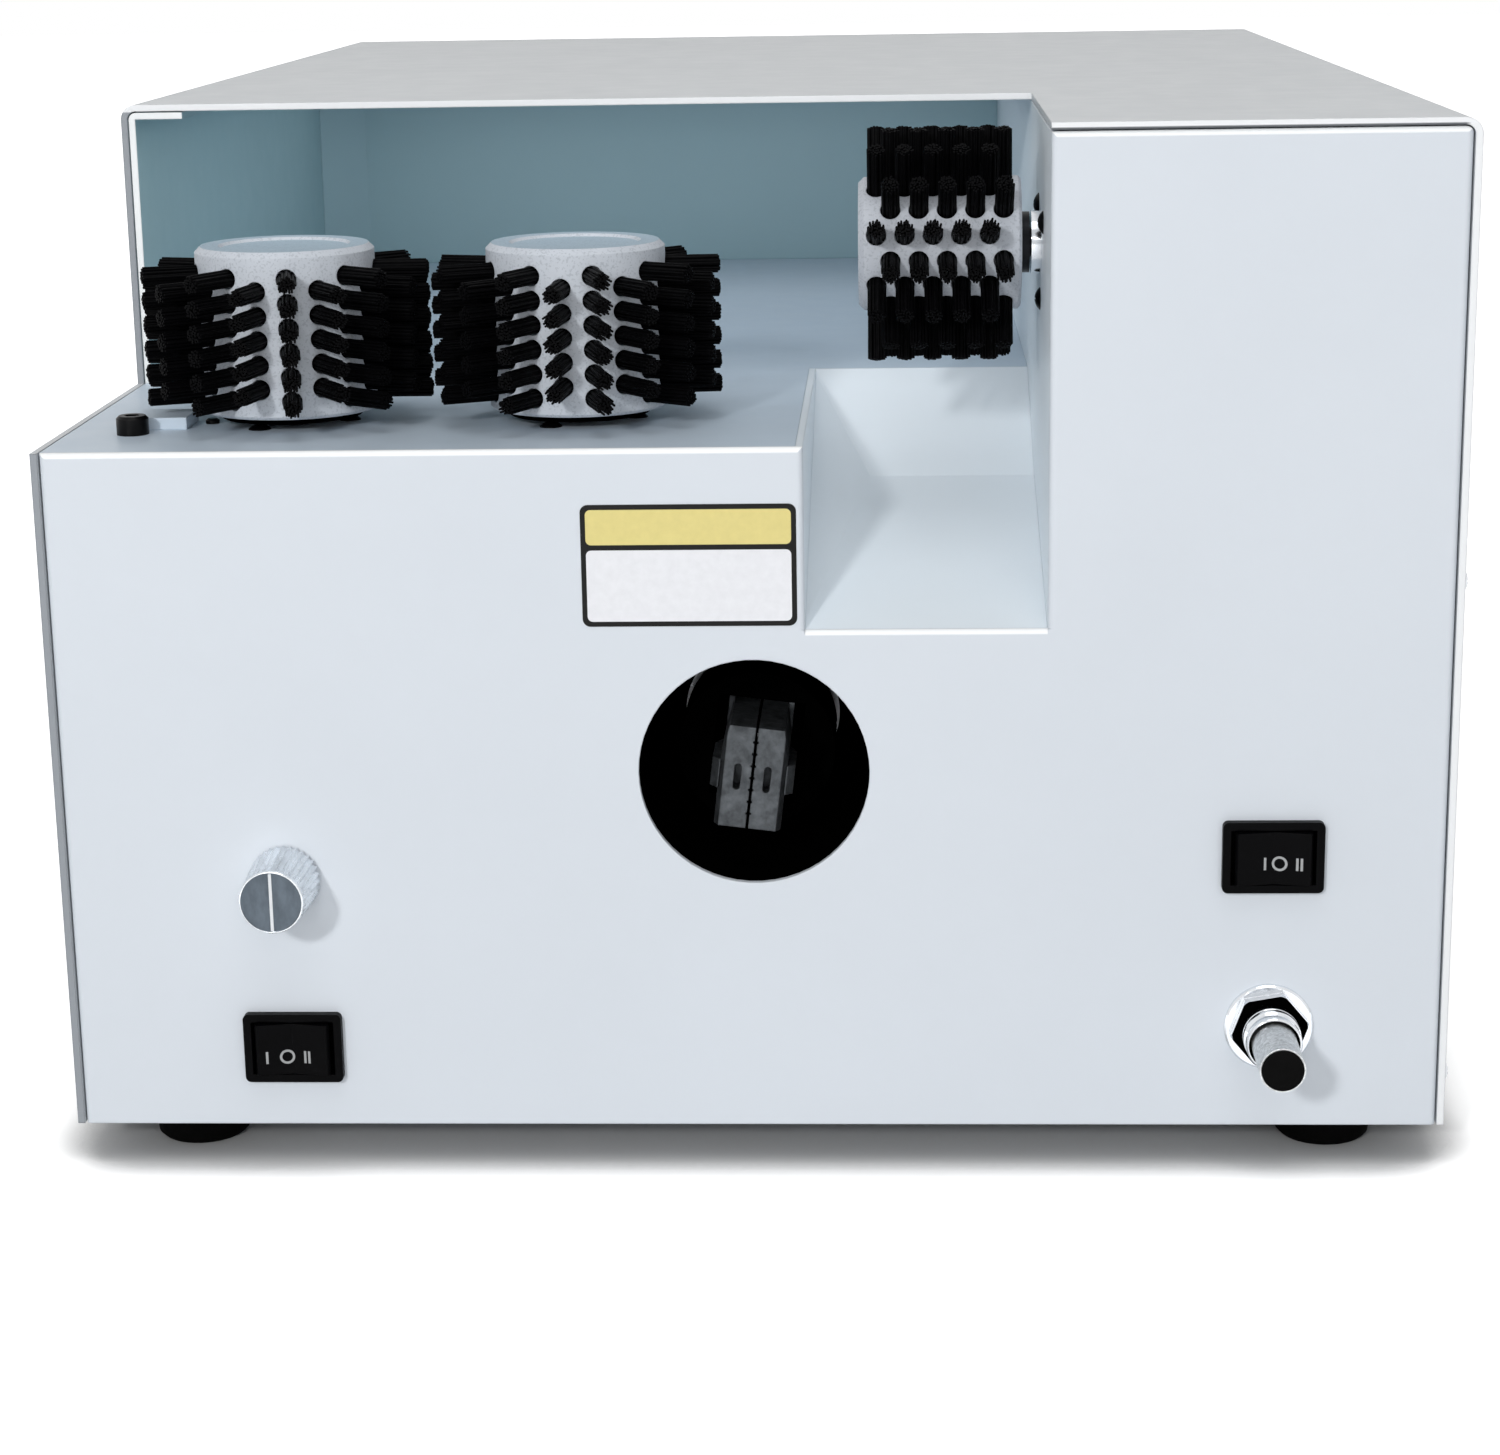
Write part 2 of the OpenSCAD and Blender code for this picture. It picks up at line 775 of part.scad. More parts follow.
module foot_fasteners() {
    color(steel) placed() for_feet() {
        rotate_extrude()
            polygon([
                [0, foot_recess - foot_head_h + 1], [foot_head_r - 1, foot_recess - foot_head_h],
                [foot_head_r, foot_recess - foot_head_h + 1], [foot_head_r, foot_recess],
                [foot_screw_r, foot_recess], [foot_screw_r, pan_top + 5], [0, pan_top + 5]
            ]);
        translate([0, 0, pan_top])
            difference() {
                cylinder(r = 4, h = 3, $fn = 6);
                translate([0, 0, -cut]) cylinder(r = foot_screw_r + seat_gap, h = 3 + 2 * cut);
            }
    }
}

// Pan head screw that points down from the surface at z = 0
module pan_screw(head_r, head_h, shank_r, length) {
    difference() {
        union() {
            intersection() {
                cylinder(r = head_r, h = head_h);
                translate([0, 0, head_h - head_r * 1.35]) sphere(r = head_r * 1.35);
            }
            translate([0, 0, -length]) cylinder(r = shank_r, h = length + eps);
        }
        for (a = [0, 90])
            rotate(a)
                translate([0, 0, head_h])
                    cube([head_r * 1.1, head_r * 0.22, head_h], center = true);
    }
}

module housing_screws() {
    color(bright) placed() {
        for_side_screws(pan_screw_y, pan_screw_z) side_screw();
        for (z = front_screw_z) {
            for_side_screws([sheet_t + flange_w / 2], z) side_screw();
            for_side_screws([rear_in - flange_w / 2], z) side_screw();
        }
        for (x = rear_screw_x)
            translate([x, body_d, rear_screw_z])
                rotate([-90, 0, 0])
                    side_screw();
        for_block_bolts() {
            cylinder(r = bolt_r, h = sheet_t + block_foot_t + eps);
            translate([0, 0, sheet_t + block_foot_t]) cylinder(r = 4.6, h = 3.5, $fn = 6);
        }
    }
}

module side_screw() {
    pan_screw(screw_head_r, screw_head_h, screw_r, screw_l);
}

// A cap screw and a small round-headed plug screw
module deck_screws() {
    color(black) placed() {
        translate([cap_x, cap_y, deck_z]) difference() {
            union() {
                cylinder(r = cap_r, h = cap_h - 0.6);
                translate([0, 0, cap_h - 0.6]) cylinder(r1 = cap_r, r2 = cap_r - 0.6, h = 0.6);
                translate([0, 0, -8]) cylinder(r = cap_shank_r, h = 8 + eps);
            }
            translate([0, 0, cap_h - 2]) cylinder(r = 1.75, h = 3, $fn = 6);
        }
        translate([plug_x, plug_y, deck_z]) {
            cylinder(r = plug_head_r, h = plug_head_h - 0.4);
            translate([0, 0, plug_head_h - 0.4])
                cylinder(r1 = plug_head_r, r2 = plug_head_r - 0.5, h = 0.4);
            translate([0, 0, 0.2 - sheet_t]) cylinder(r = plug_r, h = sheet_t);
        }
    }
}

module deck_stop_plate() {
    color(steel) placed()
        block(stop_x, stop_x + stop_w, stop_y, stop_y + stop_d, deck_z, deck_z + stop_t);
}

// Controls

module switch_frame(x, z) {
    color(black) placed() translate([x, 0, z]) difference() {
        union() {
            slab_y(-bezel_t, 0) rounded_rect(switch_w, switch_h, 1.2);
            block(1 - switch_w / 2, switch_w / 2 - 1, -eps, switch_depth,
                1 - switch_h / 2 + seat_gap, switch_h / 2 - 1 - seat_gap);
            for (side = [-1, 0, 1])
                block(side * 6 - 0.4, side * 6 + 0.4, switch_depth - eps, switch_depth + 7, -2.4, 2.4);
        }
        block(switch_wall - switch_w / 2, switch_w / 2 - switch_wall, -bezel_t - cut,
            rocker_back + free_gap, switch_wall - switch_h / 2, switch_h / 2 - switch_wall);
    }
}

// Rocker that tips about the upright axis through its middle, with two sloping halves
module switch_rocker(x, z) {
    h = switch_h - 2 * switch_wall - 2 * free_gap;
    crown = rocker_r * tan(rocker_tip);
    color(black) placed() translate([x, 0, z - h / 2]) linear_extrude(h)
        intersection() {
            translate([0, rocker_y]) circle(rocker_r);
            polygon([
                [-rocker_r, -bezel_t - crown], [0, -bezel_t], [rocker_r, -bezel_t - crown],
                [rocker_r * 0.55, rocker_back - 1], [0, rocker_back], [-rocker_r * 0.55, rocker_back - 1]
            ]);
        }
}

// Distance of a rocker's axis behind the front face
rocker_y = 0.5;

module speed_knob() {
    color(bright) placed() translate([knob_x, -0.5, knob_z]) rotate([90, 0, 0]) difference() {
        rotate_extrude()
            polygon([
                [0, 0], [knob_r, 0], [knob_r, 1.5], [knob_face_r + 0.4, knob_l - 1],
                [knob_face_r - 0.4, knob_l], [0, knob_l]
            ]);
        for (i = [0 : knob_ribs - 1])
            rotate(i * 360 / knob_ribs)
                translate([knob_r + 0.25, 0, 1.5])
                    rotate([0, -atan((knob_r - knob_face_r) / knob_l), 0])
                        cylinder(r = 0.55, h = knob_l, $fn = 16);
        translate([0, 0, -cut]) cylinder(r = knob_r - 1.6, h = 3.5 + cut);
        translate([0, 0, -cut]) cylinder(r = pot_bush_r + free_gap, h = 7 + cut);
        translate([0, 0, -cut]) cylinder(r = arbor_pot_r + seat_gap, h = knob_l - 2 + cut);
    }
}

arbor_pot_r = 3;

module speed_pot_shaft() {
    color(steel) placed()
        rod_y(knob_x, knob_z, -(knob_l - 2) - 0.4, sheet_t + 6, arbor_pot_r);
}

module speed_pot() {
    color(steel) placed() {
        difference() {
            union() {
                rod_y(knob_x, knob_z, sheet_t, sheet_t + 10, pot_r);
                rod_y(knob_x, knob_z, -6, sheet_t + eps, pot_bush_r);
                block(knob_x - 6, knob_x + 6, sheet_t + 2, sheet_t + 4, knob_z - 15, knob_z - 7);
            }
            rod_y(knob_x, knob_z, -7, sheet_t + 7, arbor_pot_r + run_gap);
        }
        translate([knob_x, 0, knob_z]) rotate([90, 0, 0]) difference() {
            cylinder(r = 5.6, h = 2, $fn = 6);
            translate([0, 0, -cut]) cylinder(r = pot_bush_r + seat_gap, h = 2 + 2 * cut);
        }
    }
}

// Hexagon nut with a washer under it
module socket_nut() {
    color(bright) placed() translate([socket_x, 0, socket_z]) rotate([90, 0, 0]) difference() {
        union() {
            cylinder(r = nut_size / 2 + washer_w, h = washer_t, $fn = 64);
            intersection() {
                rotate(10) cylinder(r = nut_size / 2, h = nut_t, $fn = 6);
                cylinder(r1 = nut_size / 2 + 1.5, r2 = nut_size / 2 - 0.3, h = nut_t, $fn = 64);
            }
        }
        translate([0, 0, -cut]) cylinder(r = bush_r + seat_gap, h = nut_t + 2 * cut);
    }
}

module socket_bush() {
    color(bright) placed() translate([socket_x, 0, socket_z]) rotate([90, 0, 0]) difference() {
        rotate_extrude()
            polygon([
                [0, -12], [bush_r + 1.8, -12], [bush_r + 1.8, -sheet_t], [bush_r, -sheet_t],
                [bush_r, 8], [bush_r - 0.6, 8.6], [bush_r - 0.6, 10], [bush_r - 0.2, 10.4],
                [bush_r - 0.2, 11.6], [bush_r - 0.5, 12], [mouth_r, 12], [mouth_r, 12 - mouth_d],
                [0, 12 - mouth_d]
            ]);
        translate([0, 0, 12 - sleeve_seat]) cylinder(r = sleeve_r + seat_gap, h = sleeve_seat + cut);
    }
}

sleeve_seat = 5;
insert_r = sleeve_r - 0.4;

module socket_sleeve() {
    color(bright) placed() translate([socket_x, 0, socket_z]) rotate([90, 0, 0]) difference() {
        translate([0, 0, 12 - sleeve_seat])
            cylinder(r = sleeve_r, h = socket_reach - 0.4 - 12 + sleeve_seat);
        translate([0, 0, socket_reach - 13])
            cylinder(r = insert_r + seat_gap, h = 14);
    }
}

module socket_insert() {
    color(black) placed() translate([socket_x, 0, socket_z]) rotate([90, 0, 0])
        translate([0, 0, socket_reach - 13])
            cylinder(r = insert_r, h = 13);
}

// Brush wheels

// Places the children pointing outwards along X at each tuft of a wheel that stands on the origin
module wheel_tufts(columns, tufts, pitch, length, uneven) {
    drop = uneven ? column_drop : 0;
    for (i = [0 : columns - 1]) {
        odd = i % 2;
        count = uneven ? tufts - odd : tufts;
        shift = uneven ? 0 : (0.5 - odd) * pitch / 2;
        for (j = [0 : count - 1])
            rotate(i * 360 / columns)
                translate([0, 0, length / 2 - drop + shift + (j - (count - 1) / 2) * pitch])
                    rotate([0, 90, 0])
                        children();
    }
}

module wheel_hub(r, length, columns, tufts, pitch, uneven) {
    difference() {
        rotate_extrude()
            polygon([
                [0, 0], [r - 0.6, 0], [r, 0.6], [r, length - 1.2], [r - 1.2, length],
                [r - 5, length], [r - 5.6, length - 0.6], [0, length - 0.6]
            ]);
        wheel_tufts(columns, tufts, pitch, length, uneven)
            translate([0, 0, r - tuft_seat])
                cylinder(r = tuft_r + seat_gap, h = tuft_seat + cut, $fn = 24);
        translate([0, 0, -cut])
            cylinder(r = arbor_r + seat_gap, h = length - 3 + cut);
    }
}

module wheel_bristles(r, tip_r, length, columns, tufts, pitch, uneven) {
    wheel_tufts(columns, tufts, pitch, length, uneven)
        translate([0, 0, r - tuft_seat])
            cylinder(r = tuft_r, h = tip_r - r + tuft_seat, $fn = 24);
}

module upright(x, turn) {
    translate([x, brush_in_y, hub_z])
        rotate(turn)
            children();
}

module upright_hub(x, turn) {
    color(nylon) placed() upright(x, turn)
        wheel_hub(hub_r, hub_l, column_n, column_tufts, tuft_pitch, true);
}

module upright_tufts(x, turn) {
    color(black) placed() upright(x, turn)
        wheel_bristles(hub_r, brush_r, hub_l, column_n, column_tufts, tuft_pitch, true);
}

module upright_arbor(x) {
    color(dark_steel) placed() upright(x, 0) {
        translate([0, 0, motor_screw_h + free_gap - hub_lift])
            cylinder(r = arbor_flange_r, h = hub_lift - motor_screw_h - free_gap);
        translate([0, 0, -hub_lift - sheet_t - arbor_depth + 1])
            cylinder(r = arbor_r, h = hub_l - 4 + hub_lift + sheet_t + arbor_depth - 1);
    }
}

module crosswise() {
    translate([cross_hub_x + cross_hub_l, cross_in_y, cross_z])
        rotate([0, -90, 0])
            rotate(cross_brush_turn - 90)
                children();
}

module cross_brush_hub() {
    color(nylon) placed() crosswise()
        wheel_hub(cross_hub_r, cross_hub_l, row_n, row_tufts, row_pitch, false);
}

module cross_brush_tufts() {
    color(black) placed() crosswise()
        wheel_bristles(cross_hub_r, cross_brush_r, cross_hub_l, row_n, row_tufts, row_pitch, false);
}

module cross_brush_arbor() {
    hub_end = cross_hub_x + cross_hub_l;
    color(bright) placed() {
        rod_x(cross_in_y, cross_z, cross_hub_x + 3.4, tower_x + sheet_t + arbor_depth - 1, arbor_r);
        rod_x(cross_in_y, cross_z, hub_end, tower_x - boss_t - free_gap, boss_r - 0.2);
    }
}

module cross_brush_boss() {
    color(bright) placed() difference() {
        union() {
            rod_x(cross_in_y, cross_z, tower_x - boss_t, tower_x, boss_r);
            rod_x(cross_in_y, cross_z, tower_x - eps, tower_x + sheet_t, motor_boss_r);
        }
        rod_x(cross_in_y, cross_z, tower_x - 2 * boss_t, tower_x + 2 * sheet_t, arbor_r + run_gap);
    }
}

// Gearbox and motor that hang below z = 0, with the shaft hole on the axis
module gear_motor(boss_h) {
    difference() {
        union() {
            translate([0, 0, -gear_l]) cylinder(r = gear_r, h = gear_l);
            translate([0, 0, -gear_l - can_l]) cylinder(r = can_r, h = can_l + eps);
            if (boss_h > 0)
                cylinder(r = motor_boss_r, h = boss_h);
            for (side = [-1, 1])
                translate([side * 7, 0, -gear_l - can_l - 2.5])
                    cube([0.6, 3, 5.2], center = true);
        }
        translate([0, 0, -arbor_depth]) cylinder(r = arbor_r + run_gap, h = arbor_depth + 5);
        motor_screw_places()
            translate([0, 0, -motor_screw_l]) cylinder(r = motor_screw_hole, h = motor_screw_l + cut);
    }
}

module upright_motor(x) {
    color(steel) placed()
        translate([x, brush_in_y, deck_z - sheet_t])
            gear_motor(sheet_t);
}

module cross_brush_motor() {
    color(steel) placed()
        translate([tower_x + sheet_t, cross_in_y, cross_z])
            rotate([0, -90, 0])
                mirror([1, 0, 0])
                    gear_motor(0);
}

module motor_screws() {
    color(dark_steel) placed() {
        for (x = [left_brush_x, right_brush_x])
            translate([x, brush_in_y, deck_z])
                motor_screw_places()
                    motor_screw();
        translate([tower_x, cross_in_y, cross_z])
            rotate([0, -90, 0])
                mirror([1, 0, 0])
                    motor_screw_places()
                        motor_screw();
    }
}

module motor_screw() {
    pan_screw(motor_screw_r, motor_screw_h, motor_screw_hole - seat_gap,
        sheet_t + motor_screw_l - 1);
}

// Gripping head

module port_tube() {
    color(black) placed() difference() {
        union() {
            rod_y(port_x, port_z, sheet_t, tube_l, tube_in_r + tube_t);
            rod_y(port_x, port_z, sheet_t, 2 * sheet_t, tube_in_r + tube_flange_w);
        }
        rod_y(port_x, port_z, 0, tube_l + cut, tube_in_r);
    }
}

// Turns the head to the angle at which it stands; U runs across the jaws
module head() {
    placed()
        translate([spindle_x, 0, spindle_z])
            rotate([0, head_tilt, 0])
                children();
}

module chuck_body() {
    pocket_w = 2 * (jaw_split / 2 + jaw_w + 2.4);
    pocket_h = jaw_h + 2 * free_gap;
    color(dark_steel) head() difference() {
        rod_y(0, 0, chuck_y, chuck_back_y, chuck_r);
        block(-pocket_w / 2, pocket_w / 2, chuck_y - cut, pocket_back_y, -pocket_h / 2,
            pocket_h / 2);
        rod_y(0, 0, chuck_y, chuck_back_y + cut, rod_r + run_gap);
        for (side = [-1, 1])
            rod_z(side * pivot_u, pivot_y, -chuck_r, chuck_r, pin_r + seat_gap);
    }
}

module jaw(side) {
    inner = jaw_split / 2;
    outer = inner + jaw_w;
    color(steel) head() mirror([side < 0 ? 1 : 0, 0, 0]) difference() {
        union() {
            translate([0, 0, -jaw_h / 2])
                linear_extrude(jaw_h)
                    polygon([
                        [inner, jaw_y], [outer - 1, jaw_y], [outer, jaw_y + 2],
                        [outer, jaw_back_y], [inner, jaw_back_y]
                    ]);
            translate([0, 0, -lug_h / 2])
                linear_extrude(lug_h)
                    polygon([
                        [outer - eps, jaw_y + 1], [outer + lug_w, jaw_y + 3],
                        [outer + lug_w, jaw_y + 14], [outer - eps, jaw_y + 18]
                    ]);
            block(tail_u, outer, jaw_back_y - eps, pivot_y + tail_l, -tail_h / 2, tail_h / 2);
        }
        rod_z(pivot_u, pivot_y, -jaw_h, jaw_h, pin_r + run_gap);
        slot_u = inner + jaw_w * 0.42;
        for (end = [-1, 1])
            rod_y(slot_u, end * slot_h / 2, jaw_y - cut, jaw_y + 5, slot_r);
        block(slot_u - slot_r, slot_u + slot_r, jaw_y - cut, jaw_y + 5, -slot_h / 2, slot_h / 2);
        for (i = [-3 : 3])
            rod_y(inner, i * 2.6, jaw_y - cut, jaw_y + 10, 0.3);
        translate([outer, 0, jaw_h / 2 - slope_h])
            rotate([0, -atan(slope_in / slope_h), 0])
                block(0, jaw_w, jaw_y - cut, jaw_back_y - 1, 0, 2 * slope_h);
    }
}

// Slope at a jaw's upper outer edge, slot in its front, and the tail behind its pivot
slope_h = 6.5;
slope_in = 1.3;
slot_h = 4.2;
slot_r = 0.75;
tail_h = 9;

module jaw_pins() {
    color(bright) head() for (side = [-1, 1])
        rod_z(side * pivot_u, pivot_y, -chuck_r + 2, chuck_r - 2, pin_r);
}

module twist_spindle() {
    color(steel) head() difference() {
        union() {
            rod_y(0, 0, chuck_back_y, chuck_back_y + spindle_flange_t, spindle_flange_r);
            rod_y(0, 0, chuck_back_y, spindle_end_y, spindle_r);
        }
        rod_y(0, 0, chuck_back_y - cut, spindle_end_y + cut, rod_r + run_gap);
    }
}

// Places the children on the feet of the bearing block, at the bottom of the base pan
module for_block_bolts() {
    for (side = [-1, 1], y = [block_y + 10, block_back_y - 10])
        translate([spindle_x + side * (block_w / 2 + 7), y, floor_z])
            children();
}

module bearing_block() {
    color(steel) placed() difference() {
        union() {
            rod_y(spindle_x, spindle_z, block_y, block_back_y, block_w / 2);
            block(spindle_x - block_w / 2, spindle_x + block_w / 2, block_y, block_back_y, pan_top,
                spindle_z);
            block(spindle_x - block_w / 2 - 14, spindle_x + block_w / 2 + 14, block_y,
                block_back_y, pan_top, pan_top + block_foot_t);
        }
        rod_y(spindle_x, spindle_z, block_y - cut, block_back_y + cut, bearing_r - 3);
        rod_y(spindle_x, spindle_z, block_y - cut, block_y + 2 + bearing_w, bearing_r + seat_gap);
        rod_y(spindle_x, spindle_z, block_back_y - 2 - bearing_w, block_back_y + cut,
            bearing_r + seat_gap);
        for_block_bolts()
            cylinder(r = bolt_r + seat_gap, h = sheet_t + block_foot_t + cut);
    }
}

module for_bearings() {
    for (y = [block_y + 2, block_back_y - 2 - bearing_w])
        translate([spindle_x, y + bearing_w / 2, spindle_z])
            rotate([-90, 0, 0])
                children();
}

module bearing_ring(r0, r1) {
    rotate_extrude()
        difference() {
            translate([r0, -bearing_w / 2]) square([r1 - r0, bearing_w]);
            translate([ball_pitch_r, 0]) circle(ball_r + run_gap);
        }
}

module bearing_outer_rings() {
    color(bright) placed() for_bearings() {
        bearing_ring(bearing_r - ring_t, bearing_r);
        for (i = [0 : ball_n - 1])
            rotate(i * 360 / ball_n)
                translate([ball_pitch_r, 0, 0])
                    sphere(r = ball_r);
    }
}

module bearing_inner_rings() {
    color(bright) placed() for_bearings()
        bearing_ring(spindle_r + seat_gap, spindle_r + ring_t);
}

// Grooved belt pulley on the Y axis with a rim at each side
module pulley(bore_r) {
    difference() {
        union() {
            rod_y(0, 0, pulley_y, pulley_y + pulley_w, pulley_r);
            rod_y(0, 0, pulley_y - rim_t, pulley_y + eps, pulley_r + rim_h);
            rod_y(0, 0, pulley_y + pulley_w - eps, pulley_y + pulley_w + rim_t, pulley_r + rim_h);
        }
        for (i = [0 : pulley_n - 1])
            rotate([0, i * 360 / pulley_n, 0])
                rod_y(pulley_r, 0, pulley_y + eps, pulley_y + pulley_w - eps, groove_r);
        rod_y(0, 0, pulley_y - 2 * rim_t, pulley_y + pulley_w + 2 * rim_t, bore_r);
    }
}

module spindle_pulley() {
    color(steel) head()
        pulley(spindle_r + seat_gap);
}

module motor_pulley() {
    color(steel) placed() translate([motor_x, 0, spindle_z]) {
        pulley(motor_shaft_r + seat_gap);
        rod_y(0, 0, pulley_y - 3, bracket_y + bracket_t + shaft_reach, motor_shaft_r);
    }
}

module belt_outline(r) {
    translate([spindle_x, spindle_z]) circle(r);
    translate([motor_x, spindle_z]) circle(r);
    translate([spindle_x, spindle_z - r]) square([motor_off, 2 * r]);
}

module twist_belt() {
    color(black) placed() slab_y(pulley_y + 1, pulley_y + pulley_w - 1)
        difference() {
            belt_outline(pulley_r + 0.1 + belt_t);
            belt_outline(pulley_r + 0.1);
        }
}

module twist_motor() {
    face_y = bracket_y + bracket_t;
    color(dark_steel) placed() translate([motor_x, 0, spindle_z]) difference() {
        union() {
            rod_y(0, 0, face_y, face_y + motor_rim, motor_r);
            rod_y(0, 0, face_y + motor_rim - eps, face_y + motor_l - motor_rim, motor_r - 1.5);
            rod_y(0, 0, face_y + motor_l - motor_rim - eps, face_y + motor_l, motor_r);
            rod_y(0, 0, bracket_y, face_y + eps, motor_nose_r);
        }
        rod_y(0, 0, bracket_y - cut, face_y + motor_rim - 1, motor_shaft_r + run_gap);
    }
}

module motor_bracket() {
    half = motor_r + bracket_side;
    color(steel) placed() difference() {
        union() {
            block(motor_x - half, motor_x + half, bracket_y, bracket_y + bracket_t, pan_top,
                spindle_z + motor_r + 4);
            block(motor_x - half, motor_x + half, bracket_y, bracket_y + bracket_foot, pan_top,
                pan_top + bracket_t);
            for (side = [-1, 1])
                slab_x(motor_x + side * (half - bracket_t / 2) - bracket_t / 2,
                    motor_x + side * (half - bracket_t / 2) + bracket_t / 2)
                    polygon([
                        [bracket_y, pan_top], [bracket_y + bracket_foot - 5, pan_top],
                        [bracket_y, spindle_z - motor_r + 8]
                    ]);
        }
        rod_y(motor_x, spindle_z, bracket_y - cut, bracket_y + bracket_t + cut,
            motor_nose_r + seat_gap);
    }
}

// Clamp drive

module push_rod() {
    color(bright) head() {
        translate([0, cone_y - cone_l, 0])
            rotate([-90, 0, 0])
                cylinder(r1 = cone_tip_r, r2 = rod_r, h = cone_l);
        rod_y(0, 0, cone_y - eps, collar_y + collar_t, rod_r);
        rod_y(0, 0, collar_y, collar_y + collar_t, collar_r);
    }
}

module clamp_plunger() {
    cup_y = collar_y - free_gap - cup_wall;
    color(steel) placed() translate([spindle_x, 0, spindle_z]) difference() {
        union() {
            rod_y(0, 0, cup_y, cup_back_y, cup_r);
            rod_y(0, 0, cup_back_y - eps, solenoid_y + plunger_in, plunger_r);
        }
        rod_y(0, 0, collar_y - free_gap, collar_y + collar_t + free_gap, collar_r + free_gap);
        rod_y(0, 0, cup_y - cut, collar_y, rod_r + free_gap);
        block(0, cup_r + cut, cup_y - cut, collar_y, -rod_r - free_gap, rod_r + free_gap);
        block(0, cup_r + cut, collar_y - free_gap, collar_y + collar_t + free_gap,
            -collar_r - free_gap, collar_r + free_gap);
    }
}

// Coil spring swept along a helix with six-sided wire
module clamp_spring() {
    sides = 6;
    steps = 16 * spring_turns;
    y0 = cup_back_y + spring_wire_r + 0.1;
    y1 = solenoid_y - spring_wire_r - 0.1;
    rings = [for (i = [0 : steps]) let (a = i * 360 / 16, y = y0 + (y1 - y0) * i / steps)
        for (k = [0 : sides - 1]) let (b = k * 360 / sides,
            r = spring_r + spring_wire_r * cos(b))
            [r * cos(a), y + spring_wire_r * sin(b), r * sin(a)]];
    last = steps * sides;
    color(bright) placed() translate([spindle_x, 0, spindle_z])
        polyhedron(rings, concat(
            [[for (k = [0 : sides - 1]) k]],
            [for (i = [0 : steps - 1], k = [0 : sides - 1])
                [i * sides + k, (i + 1) * sides + k, (i + 1) * sides + (k + 1) % sides,
                    i * sides + (k + 1) % sides]],
            [[for (k = [sides - 1 : -1 : 0]) last + k]]
        ));
}

module clamp_solenoid() {
    leg_t = 3;
    color(dark_steel) placed() translate([spindle_x, 0, 0]) {
        difference() {
            block(-solenoid_w / 2, solenoid_w / 2, solenoid_y, solenoid_y + solenoid_l,
                spindle_z - solenoid_h / 2, spindle_z + solenoid_h / 2);
            rod_y(0, spindle_z, solenoid_y - cut, solenoid_y + solenoid_l - 10, plunger_r + run_gap);
        }
        difference() {
            block(-solenoid_w / 2, solenoid_w / 2, solenoid_y + 5, solenoid_y + solenoid_l - 5,
                pan_top, spindle_z - solenoid_h / 2);
            block(leg_t - solenoid_w / 2, solenoid_w / 2 - leg_t, solenoid_y,
                solenoid_y + solenoid_l, pan_top + leg_t, spindle_z - solenoid_h / 2 - leg_t);
        }
    }
}

// Electrics

module transformer() {
    x = transformer_in_x - body_w / 2;
    y = body_d - transformer_in_y;
    core_w = 66;
    core_d = 34;
    core_h = 55;
    leg = core_w / 6;
    coil_out = 9;
    color(dark_steel) placed() translate([x, y, pan_top]) {
        difference() {
            block(-core_w / 2, core_w / 2, -core_d / 2, core_d / 2, 0, core_h);
            for (side = [-1, 1])
                block(side * leg * 1.5 - leg / 2, side * leg * 1.5 + leg / 2, -core_d, core_d,
                    leg, core_h - leg);
        }
        difference() {
            block(-leg * 1.9, leg * 1.9, -core_d / 2 - coil_out, core_d / 2 + coil_out, leg + 0.5,
                core_h - leg - 0.5);
            block(-leg - 0.1, leg + 0.1, -core_d / 2 - 0.1, core_d / 2 + 0.1, 0, core_h);
        }
    }
}

module control_board() {
    x = body_w / 2 - board_in_x;
    y = body_d - board_in_y;
    board_w = 100;
    board_d = 80;
    stand_h = 8;
    board_t = 1.6;
    top = stand_h + board_t;
    color([0.1, 0.35, 0.2]) placed() translate([x, y, pan_top]) {
        block(-board_w / 2, board_w / 2, -board_d / 2, board_d / 2, stand_h, top);
        for (sx = [-1, 1], sy = [-1, 1])
            translate([sx * (board_w / 2 - 6), sy * (board_d / 2 - 6), 0])
                cylinder(r = 3, h = stand_h);
        for (i = [0 : 2])
            translate([-34 + i * 18, 20, top]) cylinder(r = 7, h = 24);
        for (i = [0 : 7])
            block(20 + i * 3.5, 21.2 + i * 3.5, -30, 20, top + 2 - eps, top + 26);
        block(19, 47, -30, 20, top, top + 2);
        for (i = [0 : 2])
            block(-42 + i * 20, -26 + i * 20, -12, 2, top, top + 15);
        block(-44, 10, -36, -25, top, top + 12);
    }
}

module power_inlet() {
    y0 = body_d;
    color(black) placed() translate([inlet_x, 0, inlet_z]) difference() {
        union() {
            slab_y(y0, y0 + inlet_t) rounded_rect(inlet_w, inlet_h, 3);
            block(0.1 - inlet_cut_w / 2, inlet_cut_w / 2 - 0.1, y0 - inlet_depth, y0 + eps,
                0.1 - inlet_cut_h / 2, inlet_cut_h / 2 - 0.1);
        }
        difference() {
            block(-12.2, 12.2, y0 - 14, y0 + inlet_t + cut, -8.2, 8.2);
            for (p = [[-7, 1.5], [7, 1.5], [0, -2.5]])
                block(p[0] - 1, p[0] + 1, y0 - 15, y0 + 1, p[1] - 2, p[1] + 2);
        }
    }
}

